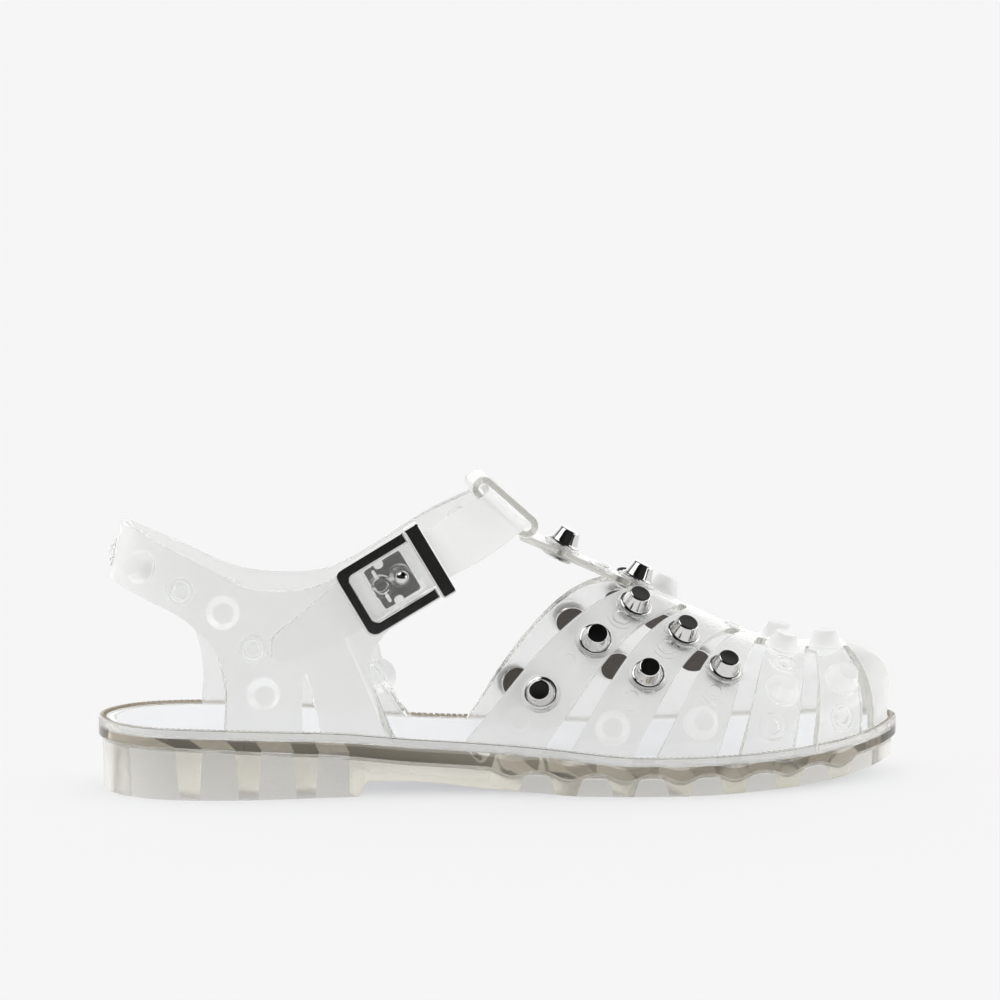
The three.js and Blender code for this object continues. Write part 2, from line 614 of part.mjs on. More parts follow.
// Columns of the vamp from the instep bar to the toe, with the kind of stretch after each.
function vampColumns() {
  const columns = [];
  const stretch = (kind, parts, from, to) => {
    for (let i = 0; i < parts; i += 1) {
      const share = i / parts;
      columns.push({ kind, foot: mix(from[0], to[0], share), top: mix(from[1], to[1], share) });
    }
  };
  const first = straps[0];
  stretch('bar', 6, [first.rearFoot, barStart], [first.rearFoot, first.rearTop]);
  straps.forEach((strap, i) => {
    const next = straps[i + 1];
    const nextFoot = next ? next.rearFoot : capFoot;
    const nextTop = next ? next.rearTop : capTop;
    const rear = [strap.rearFoot, strap.rearTop];
    const front = [strap.frontFoot, strap.frontTop];
    stretch('strap', 2, rear, front);
    stretch('gap', 1, front, [nextFoot, nextTop]);
  });
  const tip = insetOutline(wallInset).outer.at(-1)[0] / soleLength;
  const capColumns = 9;
  for (let i = 0; i <= capColumns; i += 1) {
    const share = Math.sin((Math.PI / 2) * (i / capColumns));
    columns.push({ kind: 'cap', foot: mix(capFoot, tip, share), top: mix(capTop, tip, share) });
  }
  return columns;
}

function makeVamp() {
  const columns = vampColumns();
  const rows = Array.from({ length: vampRows + 1 }, (_, row) => row);
  const grid = rows.map((row) => columns.map(({ foot, top }) => vampPoint(foot, top, row)));
  const onSpine = (r) => r >= legRows && r < legRows + 2 * spineRows;
  const kept = (r, c) => onSpine(r) || columns[c].kind === 'strap' || columns[c].kind === 'cap';
  return shell(grid, kept, wall);
}

function makeSeat() {
  const band = (inset, low, high) => loft([
    ring(inset, (x) => seatFloor(x) + low, lineStations),
    ring(inset, (x) => seatFloor(x) + high, lineStations),
  ]);
  const inset = rimWidth + gap + 2 * seatSlack;
  const innerInset = inset + wall - 2 * seatSlack;
  const seat = band(inset, 0, seatHeight).subtract(band(innerInset, -1, seatHeight + 1));
  return seat.intersect(block(0, capFoot * soleLength + wall, 0, heelHeight));
}

// The rim's front with the gap behind it, which the flat facets of the toe cap stay clear of.
function makeToeRoom() {
  const around = loft([
    ring(-wall, () => -wall, lineStations),
    ring(-wall, (x) => rimTop(x) + gap, lineStations),
  ]);
  const inside = loft([
    ring(rimWidth + gap, () => -2 * wall, lineStations),
    ring(rimWidth + gap, () => heelHeight, lineStations),
  ]);
  return around.subtract(inside).intersect(block(soleLength - 2 * wall, soleLength + wall, -wall, heelHeight));
}

// Cross-line of the collar band at a row number, fractions between rows on a smooth curve.
function collarLine(row) {
  const at = (column) => (i) => collar[clamp(i, 0, collar.length - 1)][column] ?? 0;
  const i = Math.floor(row);
  const t = row - i;
  const value = (column) => {
    const [p, q, r, s] = [-1, 0, 1, 2].map((k) => at(column)(i + k));
    const bend = (2 * p - 5 * q + 4 * r - s) * t * t + (3 * q - p - 3 * r + s) * t ** 3;
    return q + 0.5 * ((r - p) * t + bend);
  };
  const end = (name) => {
    const out = value(`${name}Out`) * ballWidth - value('over') * strapOut;
    return [value(`${name}At`) * soleLength, out, value(`${name}Up`) * collarHeight];
  };
  const low = end('low');
  const top = end('top');
  const foot = clamp(value('foot'), 0, 1);
  if (foot > 0) {
    const sides = insetOutline(wallInset);
    const seatY = sideAt(low[1] < 0 ? sides.outer : sides.inner, low[0]);
    low[1] = mix(low[1], seatY, foot);
    low[2] = mix(low[2], footLevel(low[0]), foot);
  }
  return [low, top];
}

const collarPoint = ([low, top], share) => low.map((value, axis) => mix(value, top[axis], share));

function makeCollar() {
  const lines = [];
  for (let row = 0; row < collar.length - 1; row += 0.5) lines.push(collarLine(row));
  lines.push(collarLine(collar.length - 1));
  const shares = Array.from({ length: collarRows + 1 }, (_, i) => i / collarRows);
  const grid = shares.map((share) => lines.map((line) => collarPoint(line, share)));
  return shell(grid, () => true, wall);
}

// Tapered slot through both counters, wide at the sole.
function makeSlot() {
  const low = rimTop(slotAt) - insoleDrop;
  const shape = new THREE.Shape([
    new THREE.Vector2(slotAt - slotWidth / 2, low),
    new THREE.Vector2(slotAt + slotWidth / 2, low),
    new THREE.Vector2(slotAt - 1.7, low + slotHeight - 1),
    new THREE.Vector2(slotAt - 2.3, low + slotHeight),
    new THREE.Vector2(slotAt - 2.9, low + slotHeight - 1),
  ]);
  const slot = new THREE.ExtrudeGeometry(shape, { depth: 2 * ballWidth, bevelEnabled: false });
  slot.rotateX(Math.PI / 2).translate(0, ballWidth, 0);
  return solidFrom(slot);
}

// Flat sleeve that the ankle strap runs through.
function stadium(length, thickness) {
  const radius = thickness / 2;
  const run = length / 2 - radius;
  const shape = new THREE.Shape();
  shape.absarc(run, 0, radius, -Math.PI / 2, Math.PI / 2);
  shape.absarc(-run, 0, radius, Math.PI / 2, 1.5 * Math.PI);
  return shape;
}

function makeLoop() {
  const shape = stadium(loopLength, loopThickness);
  shape.holes.push(stadium(loopLength - 2 * wall, loopThickness - 2 * wall));
  const options = { depth: loopWidth, bevelEnabled: false, curveSegments: 6 };
  const loop = new THREE.ExtrudeGeometry(shape, options);
  loop.rotateX(Math.PI / 2).translate(0, loopWidth / 2, 0);
  loop.rotateY(THREE.MathUtils.degToRad(loopSlope)).translate(loopAt.x, 0, loopAt.z);
  return solidFrom(loop);
}

// Placing on the upper: a point, its outward normal, and the turn from +Z to that normal.
function placeOn(pointAt, u, v) {
  const step = 0.02;
  const middle = new THREE.Vector3(...pointAt(u, v));
  const du = new THREE.Vector3(...pointAt(u + step, v)).sub(middle);
  const dv = new THREE.Vector3(...pointAt(u, v + step)).sub(middle);
  const normal = du.cross(dv).normalize();
  const turn = new THREE.Quaternion().setFromUnitVectors(new THREE.Vector3(0, 0, 1), normal);
  return new THREE.Matrix4().compose(middle, turn, new THREE.Vector3(1, 1, 1));
}

function strapPlace({ strap, up, across }, sideSign) {
  const edges = straps.find(({ name }) => name === strap);
  const pointAt = (u, v) => {
    const foot = mix(edges.rearFoot, edges.frontFoot, u);
    const top = mix(edges.rearTop, edges.frontTop, u);
    return legPoint(foot, top, v, sideSign);
  };
  const outward = sideSign < 0 ? (u, v) => pointAt(u, v) : (u, v) => pointAt(u, 2 * up - v);
  return placeOn(outward, across, up);
}

const strapPlaces = (row) => row.sides.map((sideSign) => strapPlace(row, sideSign));

function spinePlace({ at, side: off }) {
  const pointAt = (u, v) => spinePoint(u, Math.abs(v), Math.sign(v) || 1);
  return placeOn(pointAt, at, off);
}

function collarPlace({ row, up }) {
  return placeOn((u, v) => collarPoint(collarLine(u), v), row, up);
}

function turned(profile, place, segments) {
  const lathe = new THREE.LatheGeometry(profile.map(([r, z]) => new THREE.Vector2(r, z)), segments);
  lathe.rotateX(Math.PI / 2).applyMatrix4(place);
  return solidFrom(lathe);
}

// Metal stud: cone and flange outside, shank through the wall, disc inside.
const studOut = wall / 2 + studGap;
const discOut = wall / 2 + discGap;
const studProfile = [
  [0, -discOut - discThickness],
  [discRadius, -discOut - discThickness],
  [discRadius, -discOut],
  [shankRadius, -discOut],
  [shankRadius, studOut],
  [studBase, studOut],
  [studBase, studOut + flange],
  [studTop, studOut + studHeight],
  [0, studOut + studHeight],
];

const shankHole = [
  [0, -2 * wall],
  [shankRadius + 2 * gap, -2 * wall],
  [shankRadius + 2 * gap, 2 * wall],
  [0, 2 * wall],
];

const coneProfile = [
  [0, 0],
  [studBase, 0],
  [studBase, wall / 2 + flange],
  [studTop, wall / 2 + studHeight],
  [0, wall / 2 + studHeight],
];

function makeUpper(studPlaces, conePlaces) {
  const cones = conePlaces.map((place) => turned(coneProfile, place, 7));
  const collarWall = makeCollar().subtract(makeSlot());
  const holes = studPlaces.map((place) => turned(shankHole, place, 6));
  const body = joined([makeVamp(), makeSeat(), collarWall, makeLoop(), ...cones]);
  return cutBy(body, [...holes, pinHole(), makeToeRoom()]);
}

// Buckle parts are drawn flat, long side along X and outward along +Z, then laid on the side.
const tabFace = wall / 2;
const plateLow = tabFace + gap;
const strapOut = plateLow + plateThickness + gap + wall / 2;
const frameLow = strapOut + wall / 2 + gap;

function laid(geometry) {
  const slope = Math.atan((buckleRise * collarHeight) / soleLength);
  geometry.rotateX(Math.PI / 2).rotateY(-slope);
  geometry.translate(buckleAt.x, -tabOut, buckleAt.z);
  return solidFrom(geometry);
}

function roundedRect(length, width, radius) {
  const [x, y] = [length / 2 - radius, width / 2 - radius];
  const shape = new THREE.Shape();
  shape.absarc(x, y, radius, 0, Math.PI / 2);
  shape.absarc(-x, y, radius, Math.PI / 2, Math.PI);
  shape.absarc(-x, -y, radius, Math.PI, 1.5 * Math.PI);
  shape.absarc(x, -y, radius, 1.5 * Math.PI, 2 * Math.PI);
  return shape;
}

function slab(shape, low, thickness) {
  const options = { depth: thickness, bevelEnabled: false, curveSegments: 5 };
  return new THREE.ExtrudeGeometry(shape, options).translate(0, 0, low);
}

// Frame of three sides, its two arms open towards the cross bar.
function frameShape(length) {
  const shape = new THREE.Shape();
  const [end, half] = [length / 2, buckleWidth / 2];
  const inner = half - buckleBar;
  const outerAt = buckleCorner - end;
  const innerAt = buckleBar + windowCorner - end;
  shape.moveTo(end, half);
  shape.absarc(outerAt, half - buckleCorner, buckleCorner, Math.PI / 2, Math.PI);
  shape.absarc(outerAt, buckleCorner - half, buckleCorner, Math.PI, 1.5 * Math.PI);
  shape.lineTo(end, -half);
  shape.lineTo(end, -inner);
  shape.absarc(innerAt, windowCorner - inner, windowCorner, 1.5 * Math.PI, Math.PI, true);
  shape.absarc(innerAt, inner - windowCorner, windowCorner, Math.PI, Math.PI / 2, true);
  shape.lineTo(end, inner);
  return shape;
}

function makeFrame() {
  const frameLength = buckleLength - barWidth - gap;
  const shift = -(barWidth + gap) / 2;
  return laid(slab(frameShape(frameLength), frameLow, frameThickness).translate(shift, 0, 0));
}

function makeBar() {
  const shape = roundedRect(barWidth, buckleWidth + 1, plateCorner);
  const shift = (buckleLength - barWidth) / 2;
  return laid(slab(shape, frameLow, barThickness).translate(shift, 0, 0));
}

function makePlate() {
  const shape = roundedRect(plateLength, plateWidth, plateCorner);
  return laid(slab(shape, plateLow, plateThickness));
}

function pinProfile(grow) {
  const foot = plateLow + plateThickness + (grow ? -grow : gap);
  const neck = strapOut + wall / 2;
  const ball = neck + ballRadius;
  const arc = [-50, -20, 10, 40, 70].map((degree) => {
    const angle = THREE.MathUtils.degToRad(degree);
    return [ballRadius * Math.cos(angle), ball + ballRadius * Math.sin(angle)];
  });
  if (grow) return [[0, foot], [pinRadius + grow, foot], [pinRadius + grow, ball], [0, ball]];
  return [[0, foot], [pinRadius, foot], [pinRadius, neck], ...arc, [0, ball + ballRadius]];
}

function laidLathe(profile) {
  const lathe = new THREE.LatheGeometry(profile.map(([r, z]) => new THREE.Vector2(r, z)), 12);
  return laid(lathe.rotateX(Math.PI / 2).translate(pinShift, 0, 0));
}

const makePin = () => laidLathe(pinProfile(0));
const pinHole = () => laidLathe(pinProfile(gap));

// Assembly
const studPlaces = [
  ...spineStuds.filter(({ metal }) => metal).map(spinePlace),
  ...strapStuds.filter(({ metal }) => metal).flatMap(strapPlaces),
];
const conePlaces = [
  ...spineStuds.filter(({ metal }) => !metal).map(spinePlace),
  ...strapStuds.filter(({ metal }) => !metal).flatMap(strapPlaces),
  ...collarCones.map(collarPlace),
];

const group = new THREE.Group();
group.name = 'jelly_sandal';
group.add(meshOf('sole', makeSole(), 0xd8cdb8));
group.add(meshOf('insole', makeInsole(), 0xf4f4f2));
group.add(meshOf('upper', makeUpper(studPlaces, conePlaces), 0xe9eef0));
group.add(meshOf('buckle_frame', makeFrame(), 0xb9bcc0));
group.add(meshOf('buckle_cross_bar', makeBar(), 0xa6a9ad));
group.add(meshOf('buckle_plate', makePlate(), 0xc4c7ca));
group.add(meshOf('buckle_pin', makePin(), 0x9ea1a5));
studPlaces.forEach((place, i) => {
  group.add(meshOf(`stud_${i + 1}`, turned(studProfile, place, 8), 0xb0b3b7));
});

const bounds = new THREE.Box3().setFromObject(group);
const centre = bounds.getCenter(new THREE.Vector3());
group.position.set(-centre.x, -centre.y, -bounds.min.z);
group.updateMatrixWorld(true);

export default group;
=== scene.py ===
import bmesh
import bpy
from bisect import bisect_right
from math import acos, asin, atan, cos, degrees, hypot, pi, radians, sin, sqrt, tau
from mathutils import Matrix, Vector


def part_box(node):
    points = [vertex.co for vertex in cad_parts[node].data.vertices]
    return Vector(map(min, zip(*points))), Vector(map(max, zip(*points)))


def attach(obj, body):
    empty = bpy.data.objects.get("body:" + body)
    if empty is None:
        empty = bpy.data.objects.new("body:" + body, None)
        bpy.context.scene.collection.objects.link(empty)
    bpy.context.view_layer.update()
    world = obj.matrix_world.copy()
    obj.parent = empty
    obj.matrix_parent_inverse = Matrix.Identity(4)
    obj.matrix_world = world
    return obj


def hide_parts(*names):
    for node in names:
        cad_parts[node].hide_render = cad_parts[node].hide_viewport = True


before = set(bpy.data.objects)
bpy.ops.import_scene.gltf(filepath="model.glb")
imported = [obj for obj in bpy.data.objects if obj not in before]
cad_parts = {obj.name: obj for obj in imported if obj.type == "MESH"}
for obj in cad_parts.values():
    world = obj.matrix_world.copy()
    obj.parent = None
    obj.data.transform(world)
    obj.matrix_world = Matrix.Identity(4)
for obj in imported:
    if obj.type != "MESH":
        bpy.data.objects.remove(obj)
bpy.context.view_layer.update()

# Clear jelly sandal, right foot: toe to +X, outer side to -Y, floor at z = 0.
# Shapes are worked out in millimetres from the back of the heel, then brought to the row frame.

scene = bpy.context.scene


def tableOf(columns, rows):
    # each row's values under the names of the columns
    return [dict(zip(columns.split(), row)) for row in rows]


shoe = {
    "length": 250.0,
    "ballWidth": 88.0,
    "heelHeight": 22.5,
    "crestHeight": 78.0,
    "collarHeight": 84.0,
    "archHeight": 5.0,
    "toeSpring": 5.5,
    "wall": 2.2,
    "gap": 0.3,
    "slack": 0.25,
    "insoleThickness": 2.0,
    "insoleDrop": 0.9,
    "toeTipInner": 0.057,
}

# how far each side of the sole lies from the axis, in ball widths
outlineRows = tableOf("at outer inner", [
    (0.012, 0.159, 0.159),
    (0.056, 0.295, 0.295),
    (0.152, 0.364, 0.358),
    (0.28, 0.347, 0.335),
    (0.4, 0.33, 0.3125),
    (0.48, 0.362, 0.33),
    (0.6, 0.46, 0.409),
    (0.7, 0.494, 0.483),
    (0.79, 0.466, 0.5),
    (0.87, 0.392, 0.45),
    (0.94, 0.26, 0.35),
    (0.985, 0.085, 0.215),
])

# rim and step of the sole's side in heel heights, shares of the arch and of the toe spring
sideRows = tableOf("at rim step arch spring", [
    (0.0, 1.0, 0.73, 1.0, 0.0),
    (0.07, 1.0, 0.72, 1.0, 0.0),
    (0.27, 0.915, 0.59, 1.0, 0.0),
    (0.38, 0.79, 0.45, 0.84, 0.0),
    (0.465, 0.725, 0.385, 0.38, 0.0),
    (0.545, 0.665, 0.335, 0.1, 0.0),
    (0.585, 0.62, 0.32, 0.0, 0.0),
    (0.65, 0.56, 0.312, 0.0, 0.0),
    (0.72, 0.552, 0.305, 0.0, 0.0),
    (0.77, 0.56, 0.308, 0.0, 0.05),
    (0.86, 0.605, 0.355, 0.0, 0.26),
    (0.945, 0.69, 0.43, 0.0, 0.65),
    (1.0, 0.78, 0.51, 0.0, 1.0),
])

# ridge of the upper: height in crest heights, shift to the inner side in ball widths, and how
# square its section is on each side (1 is an ellipse, less is squarer)
ridgeRows = tableOf("at height shift outer inner", [
    (0.4, 1.22, 0.0, 1.5, 1.2),
    (0.5, 1.06, 0.0, 1.45, 1.15),
    (0.558, 0.965, 0.005, 1.38, 1.12),
    (0.627, 0.855, 0.015, 1.28, 1.08),
    (0.677, 0.775, 0.022, 1.18, 1.04),
    (0.752, 0.66, 0.035, 1.05, 0.98),
    (0.826, 0.553, 0.045, 0.92, 0.9),
    (0.876, 0.517, 0.05, 0.86, 0.86),
    (0.926, 0.515, 0.055, 0.82, 0.82),
    (0.954, 0.498, 0.057, 0.8, 0.8),
    (0.967, 0.472, 0.057, 0.8, 0.8),
    (0.9755, 0.435, 0.057, 0.8, 0.8),
    (0.98, 0.39, 0.057, 0.8, 0.8),
    (0.983, 0.33, 0.057, 0.8, 0.8),
    (0.984, 0.15, 0.057, 0.8, 0.8),
])


def clamp(value, low=0.0, high=1.0):
    return min(high, max(low, value))


def mix(a, b, share):
    return a + (b - a) * share


def smooth(share):
    return share * share * (3 - 2 * share)


def along(rows, column, at):
    # value of one column at a station, on a curve that never passes its rows
    last = len(rows) - 2
    index = min(last, max(0, sum(1 for row in rows if row["at"] <= at) - 1))

    def slope(j):
        return (rows[j + 1][column] - rows[j][column]) / (rows[j + 1]["at"] - rows[j]["at"])

    def tangent(j):
        if j == 0:
            return slope(0)
        if j == len(rows) - 1:
            return slope(j - 1)
        product = slope(j - 1) * slope(j)
        return 0.0 if product <= 0 else 2 * product / (slope(j - 1) + slope(j))

    span = rows[index + 1]["at"] - rows[index]["at"]
    t = clamp((at - rows[index]["at"]) / span)
    bend = t * (1 - t) * span * ((1 - t) * tangent(index) - t * tangent(index + 1))
    return mix(rows[index][column], rows[index + 1][column], smooth(t)) + bend


def closedCurve(points, perSpan):
    # centripetal curve through the points, back to the first
    count = len(points)
    fine = []
    for i in range(count):
        p0, p1, p2, p3 = (points[(i + k) % count] for k in (-1, 0, 1, 2))
        d0, d1, d2 = (sqrt((b - a).length) for a, b in ((p0, p1), (p1, p2), (p2, p3)))
        t1 = ((p1 - p0) / d0 - (p2 - p0) / (d0 + d1) + (p2 - p1) / d1) * d1
        t2 = ((p2 - p1) / d1 - (p3 - p1) / (d1 + d2) + (p3 - p2) / d2) * d1
        for k in range(perSpan):
            t = k / perSpan
            cube = (2 * p1 - 2 * p2 + t1 + t2) * t ** 3
            square = (-3 * p1 + 3 * p2 - 2 * t1 - t2) * t ** 2
            fine.append(cube + square + t1 * t + p1)
    return fine


length, ballWidth = shoe["length"], shoe["ballWidth"]
wall, gap, slack = shoe["wall"], shoe["gap"], shoe["slack"]
outlinePoints = [Vector((0, 0))]
outlinePoints += [Vector((row["at"] * length, -row["outer"] * ballWidth)) for row in outlineRows]
outlinePoints += [Vector((length, shoe["toeTipInner"] * ballWidth))]
outlinePoints += [
    Vector((row["at"] * length, row["inner"] * ballWidth)) for row in reversed(outlineRows)
]
fineOutline = closedCurve(outlinePoints, 54)
insetLines = {}


def insetOutline(inset):
    # the outline moved inwards, as its outer and its inner side from heel to toe
    key = round(inset, 3)
    if key in insetLines:
        return insetLines[key]
    count = len(fineOutline)
    moved = []
    for i, point in enumerate(fineOutline):
        run = (fineOutline[(i + 1) % count] - fineOutline[i - 1]).normalized()
        moved.append((point.x - run.y * inset, point.y + run.x * inset))
    toe = max(range(count), key=lambda i: moved[i][0])
    heel = min(range(count), key=lambda i: moved[i][0])
    turn = moved[heel:] + moved[:heel]
    toeIndex = (toe - heel) % count
    outer = turn[:toeIndex + 1]
    inner = [turn[0]] + turn[toeIndex:][::-1]
    insetLines[key] = (outer, inner)
    return insetLines[key]


def sideAt(line, x):
    low, high = 1, len(line) - 1
    while low < high:
        middle = (low + high) // 2
        if line[middle][0] > x:
            high = middle
        else:
            low = middle + 1
    (x0, y0), (x1, y1) = line[low - 1], line[low]
    return y1 if x1 == x0 else mix(y0, y1, clamp((x - x0) / (x1 - x0)))


def rimTop(x):
    return shoe["heelHeight"] * along(sideRows, "rim", x / length)


soleSizes = {
    "rimWidth": 2.3,
    "rimBevel": 0.5,
    "stepInset": 1.2,
    "stepDip": 2.3,
    "draft": 0.5,
    "wallUnder": 2.6,
    "heelPocketRoof": 3.0,
    "treadDepth": 5.7,
    "lugs": [124 + i * 17.2 for i in range(7)],
    "lugTop": 10.5,
    "lugFoot": 5.0,
    "lugPitch": 17.2,
    "lastHollow": 0.35,
    "heelRibs": [25 + i * 17.9 for i in range(3)],
    "heelRibTop": 10.0,
    "heelRibFoot": 5.5,
    "heelBreast": 77.0,
    "breastRun": 3.0,
    "heelBack": 9.0,
    "toothDepth": 0.8,
    "toothDrop": 0.48,
    "toothRows": (16, 17),
    "stations": 312,
}


def recessFloor(x):
    return rimTop(x) - shoe["insoleDrop"] - shoe["insoleThickness"] - gap


def soleBottom(x):
    breast = smooth(clamp((x - soleSizes["heelBreast"]) / soleSizes["breastRun"]))
    arch = shoe["archHeight"] * breast * along(sideRows, "arch", x / length)
    return arch + shoe["toeSpring"] * along(sideRows, "spring", x / length)


def stepLine(x):
    near = min(abs(x - centre) for centre in soleSizes["lugs"])
    dip = smooth(clamp(1 - near / (soleSizes["lugPitch"] * 0.45)))
    return shoe["heelHeight"] * along(sideRows, "step", x / length) - soleSizes["stepDip"] * dip


# row frame: the heel's back and the axis, from the sole's own box
soleLow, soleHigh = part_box("sole")
innerReach = max(point[1] for point in insetOutline(0)[1])
heelBack = Vector((soleLow[0], soleHigh[1] - innerReach / 1000, 0))
rowFrame = Matrix.Translation(heelBack) @ Matrix.Scale(0.001, 4)


def objectFrom(bm, name, smoothAngle=32):
    # the finished mesh goes to the row frame, its object stays at the origin
    bmesh.ops.transform(bm, matrix=rowFrame, verts=bm.verts)
    return objectInRow(bm, name, smoothAngle)


def objectInRow(bm, name, smoothAngle=32):
    mesh = bpy.data.meshes.new(name)
    for slot in range(5):
        mesh.materials.append(None)
    bm.to_mesh(mesh)
    bm.free()
    piece = bpy.data.objects.new(name, mesh)
    scene.collection.objects.link(piece)
    shade(piece, smoothAngle)
    return piece


def shade(piece, smoothAngle):
    piece.data.shade_smooth()
    piece.data.set_sharp_from_angle(angle=radians(smoothAngle))


def bakeModifiers(piece, smoothAngle=None):
    # modifiers become mesh, so that the next step starts from a plain closed body
    graph = bpy.context.evaluated_depsgraph_get()
    mesh = bpy.data.meshes.new_from_object(piece.evaluated_get(graph))
    piece.modifiers.clear()
    piece.data = mesh
    if smoothAngle:
        shade(piece, smoothAngle)
    return piece


def flattened(piece):
    # large flat faces lead the shading, so that mirrors stay straight up to their bevels
    weighted = piece.modifiers.new("weighted", "WEIGHTED_NORMAL")
    weighted.keep_sharp = True
    return bakeModifiers(piece)


def fuse(piece, others, operation="UNION", smoothAngle=32):
    for other in others:
        modifier = piece.modifiers.new("fuse", "BOOLEAN")
        modifier.operation = operation
        modifier.solver = "MANIFOLD"
        modifier.object = other
    bakeModifiers(piece, smoothAngle)
    for other in others:
        bpy.data.objects.remove(other)
    return piece


def gridFrom(columns, rows, place):
    # a flat grid whose points are then set on the surface by their column and row
    bm = bmesh.new()
    bmesh.ops.create_grid(bm, x_segments=columns, y_segments=rows, size=0.5)
    for vert in bm.verts:
        column = round((vert.co.x + 0.5) * columns)
        row = round((vert.co.y + 0.5) * rows)
        vert.co = place(column, row)
    return bm


def closeSeams(bm):
    bmesh.ops.remove_doubles(bm, verts=bm.verts, dist=1e-4)
    bmesh.ops.recalc_face_normals(bm, faces=bm.faces)


def faceOutward(bm, centre):
    # an open sheet turns its front away from a point inside the shoe
    if sum(face.normal.dot(face.calc_center_median() - centre) for face in bm.faces) < 0:
        bmesh.ops.reverse_faces(bm, faces=bm.faces)


# sole
def stationList(count):
    # stations along the shoe at even distances round the outline
    outer = insetOutline(0)[0]
    reach = [0.0]
    for a, b in zip(outer, outer[1:]):
        reach.append(reach[-1] + hypot(b[0] - a[0], b[1] - a[1]))
    xs = []
    for k in range(count + 1):
        goal = reach[-1] * k / count
        i = min(len(outer) - 2, max(0, bisect_right(reach, goal) - 1))
        share = clamp((goal - reach[i]) / (reach[i + 1] - reach[i]))
        xs.append(mix(outer[i][0], outer[i + 1][0], share) / length)
    return xs


def above(line, rise):
    return lambda x: line(x) + rise


def ringPoint(inset, heightAt, share, side):
    # point on a ring round the sole, share from heel to toe, side -1 outer and 1 inner
    outer, inner = insetOutline(inset)
    heel, toe = outer[0][0], outer[-1][0]
    x = mix(heel, toe, share)
    if share <= 0:
        return Vector((heel, outer[0][1], heightAt(heel)))
    if share >= 1:
        return Vector((toe, outer[-1][1], heightAt(toe)))
    return Vector((x, sideAt(outer if side < 0 else inner, x), heightAt(x)))


def ringStation(column, stations):
    # station and side of a column of a closed ring, from the heel to the toe and back
    column = column % (2 * stations)
    return (column, -1) if column <= stations else (2 * stations - column, 1)


def loftRings(levels, stations, toothRows=(), slots=()):
    # levels run from the underside's middle line up to the top's middle line; each level is
    # inset, height and share of its width, where 0 closes it on the middle line
    shares = stationList(stations)
    turn = 2 * stations

    def place(column, row):
        inset, heightAt, width = levels[row]
        k, side = ringStation(column, stations)
        if row in toothRows and k % 2:
            point = ringPoint(inset - soleSizes["toothDepth"], heightAt, shares[k], side)
            point.z -= soleSizes["toothDrop"]
            return point
        point = ringPoint(inset, heightAt, shares[k], side)
        if width < 1 and 0 < k < stations:
            outer, inner = insetOutline(inset)
            middle = (sideAt(outer, point.x) + sideAt(inner, point.x)) / 2
            point.y = mix(middle, point.y, width)
        return point

    bm = gridFrom(turn, len(levels) - 1, place)
    bm.verts.index_update()
    for face in bm.faces:
        corner = min(vert.index for vert in face.verts)
        row = corner // (turn + 1)
        face.material_index = next((slot for low, high, slot in slots if low <= row < high), 0)
        # slot 2 gives the pinked edge and every second tooth a darker brown, painted shade
        if toothRows and row == toothRows[0] - 1 and corner % 2:
            face.material_index = 2  # every second tooth shows on the rim's top
    closeSeams(bm)
    return bm


def crossBar(x, topWidth, footWidth, low, high):
    # bar across the shoe with a tapered section, wide end up
    bm = bmesh.new()
    bmesh.ops.create_cube(bm, size=1)
    for vert in bm.verts:
        width = topWidth if vert.co.z > 0 else footWidth
        z = high if vert.co.z > 0 else low
        vert.co = Vector((x + vert.co.x * width, vert.co.y * 2 * ballWidth, z))
    return objectFrom(bm, "bar")


def block(fromX, toX, low, high):
    return crossBar((fromX + toX) / 2, toX - fromX, toX - fromX, low, high)


